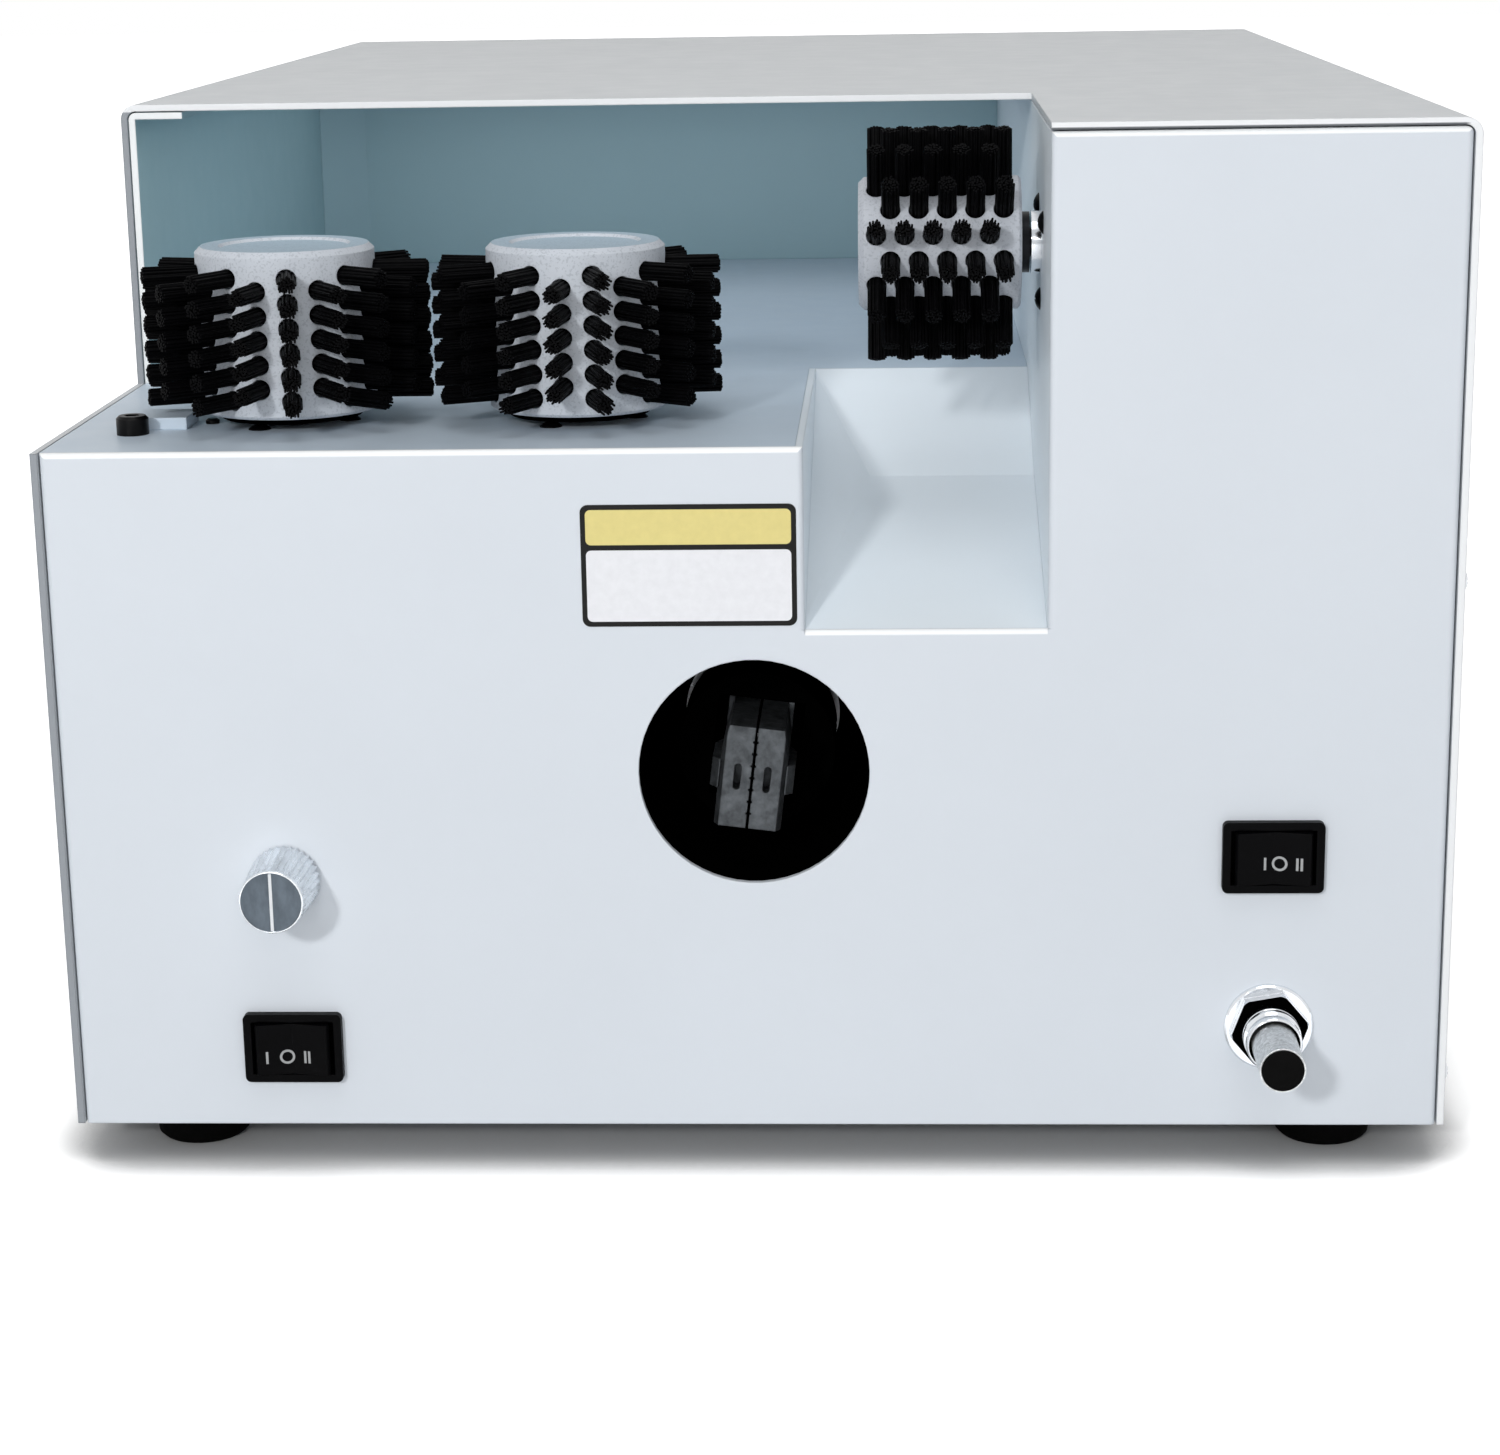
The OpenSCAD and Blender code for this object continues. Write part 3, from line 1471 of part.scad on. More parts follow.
base_pan();
front_panel();
deck_plate();
wire_ramp();
tower_wall();
bay_side_wall();
bay_rear_wall();
outer_cover();
rear_panel();
rubber_feet();
foot_fasteners();
housing_screws();
deck_screws();
deck_stop_plate();
switch_frame(left_switch_x, left_switch_z);  // power_switch_frame
switch_rocker(left_switch_x, left_switch_z);  // power_rocker
switch_frame(right_switch_x, right_switch_z);  // direction_switch_frame
switch_rocker(right_switch_x, right_switch_z);  // direction_rocker
speed_knob();
speed_pot_shaft();
speed_pot();
socket_nut();
socket_bush();
socket_sleeve();
socket_insert();
upright_hub(left_brush_x, left_brush_turn);  // left_brush_hub
upright_tufts(left_brush_x, left_brush_turn);  // left_brush_tufts
upright_arbor(left_brush_x);  // left_brush_arbor
upright_motor(left_brush_x);  // left_brush_motor
upright_hub(right_brush_x, right_brush_turn);  // right_brush_hub
upright_tufts(right_brush_x, right_brush_turn);  // right_brush_tufts
upright_arbor(right_brush_x);  // right_brush_arbor
upright_motor(right_brush_x);  // right_brush_motor
cross_brush_hub();
cross_brush_tufts();
cross_brush_arbor();
cross_brush_boss();
cross_brush_motor();
motor_screws();
port_tube();
chuck_body();
jaw(-1);  // left_jaw
jaw(1);  // right_jaw
jaw_pins();
twist_spindle();
bearing_block();
bearing_outer_rings();
bearing_inner_rings();
spindle_pulley();
motor_pulley();
twist_belt();
twist_motor();
motor_bracket();
push_rod();
clamp_plunger();
clamp_spring();
clamp_solenoid();
transformer();
control_board();
power_inlet();
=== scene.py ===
"""Bench machine that brushes out stranded wire and twists it.

Gives the frame's solids their finishes and fine pieces, and sets the floor, light and view.
"""
import math

import bmesh
import bpy
from mathutils import Matrix, Vector


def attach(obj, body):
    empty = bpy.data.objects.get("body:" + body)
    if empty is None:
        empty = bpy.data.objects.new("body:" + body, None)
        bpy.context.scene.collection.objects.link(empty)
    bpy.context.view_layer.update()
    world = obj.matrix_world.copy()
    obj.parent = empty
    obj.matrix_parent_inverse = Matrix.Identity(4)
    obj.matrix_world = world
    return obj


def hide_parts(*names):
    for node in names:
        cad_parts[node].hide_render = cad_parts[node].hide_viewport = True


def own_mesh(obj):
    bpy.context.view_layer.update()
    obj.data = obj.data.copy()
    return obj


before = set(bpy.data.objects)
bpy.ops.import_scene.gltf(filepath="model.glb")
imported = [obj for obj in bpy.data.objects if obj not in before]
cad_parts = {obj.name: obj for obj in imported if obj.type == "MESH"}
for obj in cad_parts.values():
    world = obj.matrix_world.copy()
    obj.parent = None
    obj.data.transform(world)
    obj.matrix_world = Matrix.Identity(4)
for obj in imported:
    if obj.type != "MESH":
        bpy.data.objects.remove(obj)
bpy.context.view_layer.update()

scene = bpy.context.scene

# The front face is given in metres, the golden angle in radians
MM = 0.001
FRONT_Y = -0.198
GOLDEN_TURN = 2.399963

# Lengths in millimetres and turns in degrees, as in the part's source. A place is X from the
# middle, Y back from the front face and Z up from the floor.
TOP_Z, SHEET_T = 219.0, 1.5

# Upright brushes: X, Y and turn of each, its hub, and the tufts in the hub's columns
UPRIGHTS = {"left_brush": (-98.9, 40.0, -79.15), "right_brush": (-36.8, 40.0, -74.27)}
HUB_Z, HUB_L, HUB_R = 158.0, 35.0, 19.0
COLUMNS, COLUMN_TUFTS, TUFT_PITCH, COLUMN_DROP = 18, 6, 5.1, 0.8
BRUSH_R, TUFT_R, TUFT_SEAT = 30.8, 2.1, 3.0

# Cross brush: the hub's axis and right end, and the tufts in its rows
CROSS_Y, CROSS_Z, CROSS_END, CROSS_L = 45.0, 191.0, 57.4, 34.2
CROSS_R, CROSS_BRUSH_R, CROSS_TURN = 14.0, 24.8, 13.0
ROWS, ROW_TUFTS, ROW_PITCH = 16, 5, 5.9

# Clamp spring: its axis, coil and wire, its ends, and what it is pressed between
SPRING_X, SPRING_Z, SPRING_R, SPRING_WIRE_R, SPRING_TURNS = 0.4, 83.4, 8.6, 0.8, 5
SPRING_Y0, SPRING_Y1, SPRING_CUP_Y, SPRING_SEAT_Y, ROD_TRAVEL = 166.2, 183.4, 165.3, 184.3, 4.8


def spot(x, y, z):
    """The point in the shared frame, in metres, of a place in millimetres."""
    return Vector((x * MM, FRONT_Y + y * MM, z * MM))


def tone(red, green, blue):
    """The linear colour of one written in 0 to 255."""
    def linear(c):
        c /= 255
        return c / 12.92 if c <= 0.04045 else ((c + 0.055) / 1.055) ** 2.4
    return (linear(red), linear(green), linear(blue), 1.0)


def shade(colour, factor):
    """The colour made lighter or darker, still in range."""
    return tuple(min(1.0, c * factor) for c in colour[:3]) + (1.0,)


# Wiring of node trees

def pin(sockets, key):
    """The socket with this place, or with this name among those in use."""
    if isinstance(key, int):
        return sockets[key]
    return next(s for s in sockets if s.name == key and s.enabled)


class Wiring:
    """A node tree, with short ways to put nodes into it."""

    def __init__(self, tree):
        self.tree = tree

    def add(self, kind, inputs=None, **settings):
        """A new node with its settings, and its inputs filled or linked."""
        node = self.tree.nodes.new(kind)
        for key, value in settings.items():
            setattr(node, key, value)
        for key, value in (inputs or {}).items():
            socket = pin(node.inputs, key)
            if isinstance(value, bpy.types.NodeSocket):
                self.tree.links.new(value, socket)
            else:
                socket.default_value = value
        return node

    def get(self, kind, inputs=None, key=0, **settings):
        """One output of a new node."""
        return pin(self.add(kind, inputs, **settings).outputs, key)

    def calc(self, operation, *values):
        return self.get("ShaderNodeMath", dict(enumerate(values)), operation=operation)

    def ranged(self, value, span=(0.0, 1.0), to=(0.0, 1.0), **settings):
        """The value carried over from one span of numbers to another, and held at its ends."""
        return self.get("ShaderNodeMapRange", {
            "Value": value, "From Min": span[0], "From Max": span[1],
            "To Min": to[0], "To Max": to[1]}, **settings)


# Most of a cloud's values lie in the middle span
CLOUD_SPAN, CLOUD_ROUGHNESS, CLOUD_DETAIL = (0.3, 0.7), 0.55, 3.0
BEVEL_SAMPLES = 4

# Tool marks are this much finer than the patches of gloss beside them
MARK_FINENESS = 0.4


class Finish(Wiring):
    """A material that is wired up around one Principled shader."""

    def __init__(self, name, rough, metallic=0.0, **sockets):
        self.material = bpy.data.materials.new(name)
        self.material.use_nodes = True
        super().__init__(self.material.node_tree)
        self.shader = self.tree.nodes["Principled BSDF"]
        self.shader.inputs["Metallic"].default_value = metallic
        self.shader.inputs["Roughness"].default_value = rough
        for key, value in sockets.items():
            self.shader.inputs[key.replace("_", " ")].default_value = value
        self.place = self.get("ShaderNodeTexCoord", key="Object")

    def noise(self, size_mm, detail=2.0, stretch=None):
        """Cloudy values from 0 to 1, whose patches have this size."""
        place = self.place
        if stretch:
            place = self.get("ShaderNodeMapping", {"Vector": place, "Scale": stretch})
        return self.get("ShaderNodeTexNoise", {
            "Vector": place, "Scale": 1 / (size_mm * MM), "Detail": detail,
            "Roughness": CLOUD_ROUGHNESS})

    def spread(self, value, low, high):
        """The middle of a noise stretched out between two numbers."""
        return self.ranged(value, CLOUD_SPAN, (low, high))

    def blend(self, factor, a, b, mode="MIX"):
        return self.get("ShaderNodeMix", {"Factor": factor, "A": a, "B": b}, "Result",
                        data_type="RGBA", blend_type=mode)

    def colour(self, value):
        self.tree.links.new(value, self.shader.inputs["Base Color"])

    def mottled(self, colour, size_mm, amount, stretch=None):
        """The colour in slightly lighter and darker patches."""
        cloud = self.spread(self.noise(size_mm, CLOUD_DETAIL, stretch), 0.0, 1.0)
        return self.blend(cloud, shade(colour, 1 - amount), shade(colour, 1 + amount))

    def along(self, axis, span_mm):
        """From 0 to 1 as the place goes over a span of the frame's millimetres on an axis."""
        value = self.get("ShaderNodeSeparateXYZ", {"Vector": self.place}, axis)
        return self.ranged(value, [end * MM for end in span_mm])

    def facing(self, axis, span):
        """From 0 to 1 as the surface's own normal goes over a span on an axis."""
        normal = self.get("ShaderNodeTexCoord", key="Normal")
        return self.ranged(self.get("ShaderNodeSeparateXYZ", {"Vector": normal}, axis), span)

    def gloss(self, size_mm, rough, stretch=None):
        """Roughness in patches, between two values."""
        cloud = self.spread(self.noise(size_mm, CLOUD_DETAIL, stretch), *rough)
        self.tree.links.new(cloud, self.shader.inputs["Roughness"])

    def relief(self, height, depth_mm, strength, rounded_mm=0.0):
        """A fine skin, on edges that look rounded. Ends the wiring and gives the material."""
        inputs = {"Height": height, "Distance": depth_mm * MM, "Strength": strength}
        if rounded_mm:
            inputs["Normal"] = self.get("ShaderNodeBevel", {"Radius": rounded_mm * MM},
                                        samples=BEVEL_SAMPLES)
        self.tree.links.new(self.get("ShaderNodeBump", inputs), self.shader.inputs["Normal"])
        return self.material


# Finishes

PAINT = tone(214, 220, 227)

# Where a surface faces the front as a cut edge does, or up and forward as a rounding does
CUT_FRONT, ROUND_UP, ROUND_FRONT, END_UP = (-0.6, -0.95), (0.08, 0.3), (-0.05, -0.3), (0.9, 0.98)

# The cover's front edge changes its colour over the middle, from the left side's grey of painted
# shade to the lighter colour of painted highlight, and from the sides to the top.
# The seam's painted shade ends before the right side and lies low on the top's edge.
COVER_MIDDLE_X, SIDE_TO_TOP_Z = (-2, 2), (TOP_Z - 1.8, TOP_Z - 1.5)
SEAM_X, SEAM_Y, SEAM_Z = (143.5, 142.5), (-150, -160), (TOP_Z - 0.95, TOP_Z - 1.15)


def powder_coat(name, colour, edge=None, left_edge=None, seam=None, rounding=None):
    """Pale powder coat with a faint orange peel.

    Cut edges that face the front may have their own lighter colour, and rounded edges that face
    up
    and forward too: both are painted highlight. The cover's left edge is greyer than the others,
    painted shade, and a dark line of painted shade lies in the seam over the front panel.
    """
    f = Finish(name, 0.4, Specular_IOR_Level=0.4)
    coat = f.mottled(colour, size_mm=60.0, amount=0.012)
    # Lighter front cut edges are a painted highlight; on the cover the left edge's grey and the
    # seam's dark line are painted shade
    if edge:
        cut = f.facing("Y", CUT_FRONT)
        if left_edge:
            side = f.blend(f.along("X", COVER_MIDDLE_X), left_edge, edge)
            seam_shade = f.calc("MULTIPLY", f.along("X", SEAM_X), f.along("Y", SEAM_Y))
            seam_shade = f.calc("MULTIPLY", seam_shade, f.along("Z", SEAM_Z))
            edge = f.blend(f.along("Z", SIDE_TO_TOP_Z), side, f.blend(seam_shade, edge, seam))
        coat = f.blend(cut, coat, edge)
    # Rounded edges that face up and forward are lighter: a painted highlight
    if rounding:
        upward = f.calc("MULTIPLY", f.facing("Z", ROUND_UP), f.facing("Y", ROUND_FRONT))
        coat = f.blend(upward, coat, rounding)
    f.colour(coat)
    f.gloss(size_mm=9.0, rough=(0.36, 0.46))
    peel = f.noise(size_mm=1.3)
    return f.relief(peel, depth_mm=0.02, strength=0.35, rounded_mm=0.5)


def moulded(name, colour, rough, grain_mm=0.5, depth_mm=0.015, shine=0.5):
    """Moulded plastic or rubber, or blackened steel, with a fine skin."""
    f = Finish(name, rough[0], Specular_IOR_Level=shine)
    f.colour(f.mottled(colour, size_mm=4.0, amount=0.12))
    f.gloss(size_mm=2.5, rough=rough)
    return f.relief(f.noise(grain_mm), depth_mm, strength=0.5, rounded_mm=0.25)


def turned(name, colour, rough, stretch=(1, 14, 1), size_mm=2.5, streaked=False):
    """Machined metal with fine tool marks along one direction, streaked in colour too or not."""
    f = Finish(name, rough[0], metallic=1.0)
    amount, streaks = (0.2, stretch) if streaked else (0.07, None)
    f.colour(f.mottled(colour, size_mm=3.0, amount=amount, stretch=streaks))
    f.gloss(size_mm, rough, stretch)
    marks = f.noise(size_mm * MARK_FINENESS, stretch=stretch)
    return f.relief(marks, depth_mm=0.01, strength=0.4, rounded_mm=0.2)


def speckled_nylon(name, colour, end=None):
    """Pale nylon with darker flecks; its upper end may have a darker colour, painted shade."""
    f = Finish(name, 0.55)
    cloud = f.mottled(colour, size_mm=5.0, amount=0.03)
    # The upper end's darker, bluer colour is painted shade
    if end:
        cloud = f.blend(f.facing("Z", END_UP), cloud, end)
    grains = f.spread(f.noise(size_mm=0.55, detail=1.0), 0.0, 1.0)
    flecks = f.add("ShaderNodeValToRGB", {"Fac": grains})
    stops = ((0.12, (0.8, 0.81, 0.82, 1)), (0.38, (1, 1, 1, 1)))
    for element, (position, grey) in zip(flecks.color_ramp.elements, stops):
        element.position, element.color = position, grey
    f.colour(f.blend(1.0, cloud, pin(flecks.outputs, 0), "MULTIPLY"))
    f.gloss(size_mm=3.0, rough=(0.48, 0.62))
    return f.relief(f.noise(size_mm=0.5), depth_mm=0.02, strength=0.5, rounded_mm=0.3)


def frosted(name, colour):
    """Metal with a coarse sparkling frost."""
    f = Finish(name, 0.35, metallic=1.0)
    cell_mm, darkest, lightest = 0.5, 0.72, 1.12
    cells = f.get("ShaderNodeTexVoronoi", {"Vector": f.place, "Scale": 1 / (cell_mm * MM)},
                  "Color")
    grey = f.get("ShaderNodeSeparateColor", {"Color": cells}, "Red")
    f.colour(f.blend(grey, shade(colour, darkest), shade(colour, lightest)))
    f.gloss(size_mm=0.6, rough=(0.25, 0.5))
    return f.relief(grey, depth_mm=0.03, strength=0.6, rounded_mm=0.2)


def worn_steel(name, colour):
    """Dull steel with darker stains and light rubbed places."""
    f = Finish(name, 0.6, metallic=1.0)
    most_rubbed, polish = 0.5, 1.5
    stains = f.mottled(colour, size_mm=3.5, amount=0.45)
    cloud = f.noise(size_mm=1.4, detail=CLOUD_DETAIL, stretch=(1, 1, 0.5))
    rubbed = f.spread(cloud, 0.0, most_rubbed)
    f.colour(f.blend(rubbed, stains, shade(colour, polish)))
    f.gloss(size_mm=1.5, rough=(0.5, 0.75))
    return f.relief(f.noise(size_mm=0.6), depth_mm=0.02, strength=0.5, rounded_mm=0.4)


def bristle_nylon(name, colour):
    """Black brush filament, a little greyer in streaks."""
    f = Finish(name, 0.6, Specular_IOR_Level=0.05)
    f.colour(f.mottled(colour, size_mm=0.8, amount=0.5))
    f.gloss(size_mm=1.2, rough=(0.5, 0.7))
    return f.relief(f.noise(size_mm=0.25), depth_mm=0.01, strength=0.4)


def flat_finish(name, colour, rough=0.5, shine=0.5):
    """Printed ink or film with a faint unevenness."""
    f = Finish(name, rough, Specular_IOR_Level=shine)
    f.colour(f.mottled(colour, size_mm=2.0, amount=0.03))
    f.gloss(size_mm=3.0, rough=(rough - 0.05, rough + 0.08))
    return f.relief(f.noise(size_mm=0.4), depth_mm=0.003, strength=0.4)


FINISHES = {
    "paint": powder_coat("pale_powder_coat", PAINT),
    # Its rounded edges that face up and forward are lighter: a painted highlight
    "panel_paint": powder_coat("panel_powder_coat", PAINT, rounding=tone(248, 250, 251)),
    # A darker copy of the panel's paint, painted shade on the cover's top. Its front cut edges
    # are lighter, painted highlight; its left edge grey and its seam line dark, painted shade
    "cover_paint": powder_coat("cover_powder_coat", tone(206, 210, 213), edge=tone(238, 240, 242),
                               left_edge=tone(146, 151, 157), seam=tone(96, 100, 105)),
    # A lighter copy of the paint: painted light on the ramp and the tower's wall in the notch
    "ramp_paint": powder_coat("ramp_powder_coat", tone(232, 240, 246)),
    # Darker, greener copies of the paint: painted shade on the bay's walls and deck. The bay side
    # wall's front cut edge is lighter, a painted highlight
    "bay_paint": powder_coat("bay_powder_coat", tone(178, 207, 214)),
    "bay_side_paint": powder_coat("bay_side_powder_coat", tone(172, 204, 210),
                                  edge=tone(240, 243, 244)),
    "deck_paint": powder_coat("deck_powder_coat", tone(200, 214, 227)),
    "rubber": moulded("foot_rubber", tone(4, 4, 4), (0.7, 0.85), grain_mm=0.8, depth_mm=0.03,
                      shine=0.04),
    "plated_steel": turned("plated_steel", tone(196, 199, 203), (0.24, 0.36)),
    "black_screw": moulded("black_oxide_steel", tone(4, 4, 5), (0.3, 0.42), grain_mm=0.4,
                           depth_mm=0.006, shine=0.12),
    "grey_metal": turned("grey_casting", tone(150, 153, 158), (0.38, 0.55)),
    "jaw_steel": worn_steel("jaw_steel", tone(74, 77, 80)),
    "switch_black": moulded("switch_plastic", tone(3, 3, 4), (0.3, 0.4), grain_mm=0.35,
                            depth_mm=0.004, shine=0.04),
    "knob_aluminium": turned("knob_aluminium", tone(226, 230, 234), (0.2, 0.34),
                             stretch=(1, 0.2, 1), size_mm=1.2, streaked=True),
    "chrome": turned("bright_chrome", tone(222, 225, 229), (0.08, 0.16)),
    "frosted_aluminium": frosted("frosted_aluminium", tone(212, 214, 215)),
    "matt_black": moulded("matt_black", tone(4, 4, 4), (0.55, 0.7), shine=0.05),
    # Near-black, also set where there is only shade: painted shade in the port and under the
    # hubs, and a painted dark reflection on the socket's nut
    "deep_black": moulded("black_steel_and_painted_shade", tone(2, 2, 2), (0.8, 0.95), shine=0.0),
    "face_metal": turned("brushed_dark_metal", tone(84, 92, 100), (0.3, 0.42),
                         stretch=(1.5, 1, 0.7), size_mm=1.2, streaked=True),
    # The hubs' upper ends are darker and bluer: painted shade
    "hub_nylon": speckled_nylon("hub_nylon", tone(196, 202, 210), end=tone(160, 180, 194)),
    # A darker copy of the hub nylon: painted shade on the lying hub
    "cross_hub_nylon": speckled_nylon("cross_hub_nylon", tone(186, 191, 199)),
    "bristle": bristle_nylon("brush_nylon", tone(3, 3, 4)),
    "dark_steel": turned("dark_steel", tone(34, 35, 38), (0.34, 0.48)),
    "board_green": moulded("board_lacquer", tone(28, 92, 58), (0.25, 0.4)),
}

NODE_SLOTS = {
    "paint": ["base_pan", "rear_panel"],
    "panel_paint": ["front_panel"],
    "ramp_paint": ["wire_ramp", "tower_wall"],
    "deck_paint": ["deck_plate", "deck_stop_plate"],
    "cover_paint": ["outer_cover"],
    "bay_paint": ["bay_rear_wall"],
    "bay_side_paint": ["bay_side_wall"],
    "rubber": ["rubber_feet", "twist_belt"],
    "plated_steel": ["foot_fasteners", "housing_screws", "jaw_pins", "bearing_outer_rings",
                     "bearing_inner_rings", "clamp_spring", "clamp_plunger", "push_rod",
                     "motor_bracket", "speed_pot", "speed_pot_shaft"],
    "black_screw": ["deck_screws", "motor_screws"],
    "grey_metal": ["left_brush_motor", "right_brush_motor", "cross_brush_motor", "twist_motor",
                   "clamp_solenoid", "transformer", "spindle_pulley", "motor_pulley"],
    "jaw_steel": ["left_jaw", "right_jaw"],
    "switch_black": ["power_switch_frame", "power_rocker", "direction_switch_frame",
                     "direction_rocker"],
    "knob_aluminium": ["speed_knob"],
    "chrome": ["socket_nut", "socket_bush", "cross_brush_boss"],
    "frosted_aluminium": ["socket_sleeve"],
    "matt_black": ["socket_insert", "power_inlet"],
    # The bearing block, the port tube and the upright arbors are near-black partly as painted
    # shade in the port and under the hubs
    "deep_black": ["port_tube", "bearing_block", "chuck_body", "left_brush_arbor",
                   "right_brush_arbor"],
    "hub_nylon": ["left_brush_hub", "right_brush_hub"],
    "cross_hub_nylon": ["cross_brush_hub"],
    "bristle": ["left_brush_tufts", "right_brush_tufts", "cross_brush_tufts"],
    # The cross brush's arbor is dark partly as painted shade at its collar between the hub and
    # the boss
    "dark_steel": ["cross_brush_arbor", "twist_spindle"],
    "board_green": ["control_board"],
}

for slot_name, names in NODE_SLOTS.items():
    for name in names:
        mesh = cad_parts[name].data
        mesh.materials.clear()
        mesh.materials.append(FINISHES[slot_name])


# Meshes

def finished(name, mesh, body, replaced=(), angle=35):
    """The mesh as a piece of the machine, smooth but for its sharp edges."""
    mesh.name = name
    for polygon in mesh.polygons:
        polygon.use_smooth = True
    mesh.set_sharp_from_angle(angle=math.radians(angle))
    piece = bpy.data.objects.new(name, mesh)
    scene.collection.objects.link(piece)
    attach(piece, body)
    if replaced:
        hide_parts(*replaced)
    return piece


def meshed(bm, name, *materials):
    """The mesh of what was drawn, with its faces turned outward."""
    bmesh.ops.recalc_face_normals(bm, faces=bm.faces)
    mesh = bpy.data.meshes.new(name)
    bm.to_mesh(mesh)
    bm.free()
    for material in materials:
        mesh.materials.append(material)
    return mesh


def grown(name, seats, tree, values, body, replaced):
    """What a geometry tree makes of the seats, as one plain mesh."""
    holder = bpy.data.objects.new(name + "_seats", seats)
    scene.collection.objects.link(holder)
    grower = holder.modifiers.new("grow", "NODES")
    grower.node_group = tree
    for item in tree.interface.items_tree:
        if item.name in values:
            grower[item.identifier] = values[item.name]
    graph = bpy.context.evaluated_depsgraph_get()
    mesh = bpy.data.meshes.new_from_object(holder.evaluated_get(graph))
    holder.modifiers.clear()
    bpy.data.objects.remove(holder)
    finished(name, mesh, body, replaced)


def seat_mesh(name, places, outward, along):
    """Bare points that carry the direction in which each one's piece stands."""
    mesh = bpy.data.meshes.new(name)
    mesh.from_pydata(places, [], [])
    for key, vectors in (("outward", outward), ("along", along)):
        attribute = mesh.attributes.new(key, "FLOAT_VECTOR", "POINT")
        attribute.data.foreach_set("vector", [c for v in vectors for c in v])
    return mesh


# Brush tufts

# A tuft's filaments, in millimetres; its dome and both scatters are shares of their length
FILAMENTS, FILAMENT_R, FILAMENT_SIDES, TIP_TAPER = 37, 0.31, 6, 0.8
BUNDLE_INSET, BUNDLE_DOME, BUNDLE_SPREAD = 0.3, 0.03, 2.0
LEAN_SCATTER, LENGTH_SCATTER, SEED_STEP = 0.008, 0.022, 10


def tuft_tree(material):
    """Tree that grows a round bundle of filaments out of every seat."""
    tree = bpy.data.node_groups.new("brush_tufts", "GeometryNodeTree")
    face = tree.interface
    floats = ["Bundle radius", "Filament radius", "Length", "Dome", "Spread"]
    for kind, names in (("Geometry", ["Seats"]), ("Float", floats),
                        ("Int", ["Filaments", "Seed"])):
        for name in names:
            face.new_socket(name, in_out="INPUT", socket_type="NodeSocket" + kind)
    face.new_socket("Tufts", in_out="OUTPUT", socket_type="NodeSocketGeometry")
    w = Wiring(tree)
    given = {s.name: s for s in w.add("NodeGroupInput").outputs}

    def times(*values):
        return w.calc("MULTIPLY", *values)

    def vectors(operation, *values):
        return w.get("ShaderNodeVectorMath", dict(enumerate(values)), operation=operation)

    def scaled(vector, scale):
        return w.get("ShaderNodeVectorMath", {0: vector, "Scale": scale}, operation="SCALE")

    def named(key):
        return w.get("GeometryNodeInputNamedAttribute", {"Name": key}, "Attribute",
                     data_type="FLOAT_VECTOR")

    def chance(low, high, seed):
        kind = "FLOAT_VECTOR" if isinstance(low, tuple) else "FLOAT"
        return w.get("FunctionNodeRandomValue", {"Min": low, "Max": high, "Seed": seed}, "Value",
                     data_type=kind)

    many = w.add("GeometryNodeDuplicateElements",
                 {"Geometry": given["Seats"], "Amount": given["Filaments"]}, domain="POINT")
    number = pin(many.outputs, "Duplicate Index")
    share = w.calc("DIVIDE", w.calc("ADD", number, 0.5), given["Filaments"])
    angle = times(number, GOLDEN_TURN)
    reach = times(w.calc("SQRT", share), given["Bundle radius"])
    outward, along = named("outward"), named("along")
    across = vectors("CROSS_PRODUCT", outward, along)
    offset = vectors("ADD", scaled(along, times(reach, w.calc("COSINE", angle))),
                     scaled(across, times(reach, w.calc("SINE", angle))))
    moved = w.get("GeometryNodeSetPosition",
                  {"Geometry": pin(many.outputs, "Geometry"), "Offset": offset})
    lean = vectors("ADD", outward, scaled(offset, given["Spread"]))
    lean = vectors("ADD", lean, chance((-LEAN_SCATTER,) * 3, (LEAN_SCATTER,) * 3, given["Seed"]))
    turn = w.get("FunctionNodeAlignRotationToVector", {"Vector": lean}, axis="Z")
    drop = times(times(share, share), given["Dome"])
    high = w.calc("SUBTRACT", 1.0, drop)
    short = chance(0.0, LENGTH_SCATTER, w.calc("ADD", given["Seed"], 1))
    high = w.calc("SUBTRACT", high, short)
    size = w.get("ShaderNodeCombineXYZ", {"X": 1.0, "Y": 1.0, "Z": high})
    filament_r = given["Filament radius"]
    filament = w.get("GeometryNodeMeshCone", {
        "Vertices": FILAMENT_SIDES, "Side Segments": 1, "Radius Bottom": filament_r,
        "Radius Top": times(filament_r, TIP_TAPER), "Depth": given["Length"]},
        "Mesh", fill_type="NGON")
    stood = w.get("GeometryNodeInstanceOnPoints", {
        "Points": moved, "Instance": filament, "Rotation": turn, "Scale": size})
    real = w.get("GeometryNodeRealizeInstances", {"Geometry": stood})
    painted = w.get("GeometryNodeSetMaterial", {"Geometry": real, "Material": material})
    w.add("NodeGroupOutput", {"Tufts": painted})
    return tree


TUFT_TREE = tuft_tree(FINISHES["bristle"])


def tufts(body, seats, length, seed):
    """One brush's filaments, in place of its solid tufts."""
    places, outward, along = zip(*seats)
    name = body + "_filaments"
    values = {"Bundle radius": (TUFT_R - BUNDLE_INSET) * MM, "Filament radius": FILAMENT_R * MM,
              "Length": length * MM, "Dome": BUNDLE_DOME, "Spread": BUNDLE_SPREAD,
              "Filaments": FILAMENTS, "Seed": seed}
    grown(name, seat_mesh(name, places, outward, along), TUFT_TREE, values, body,
          [body + "_tufts"])


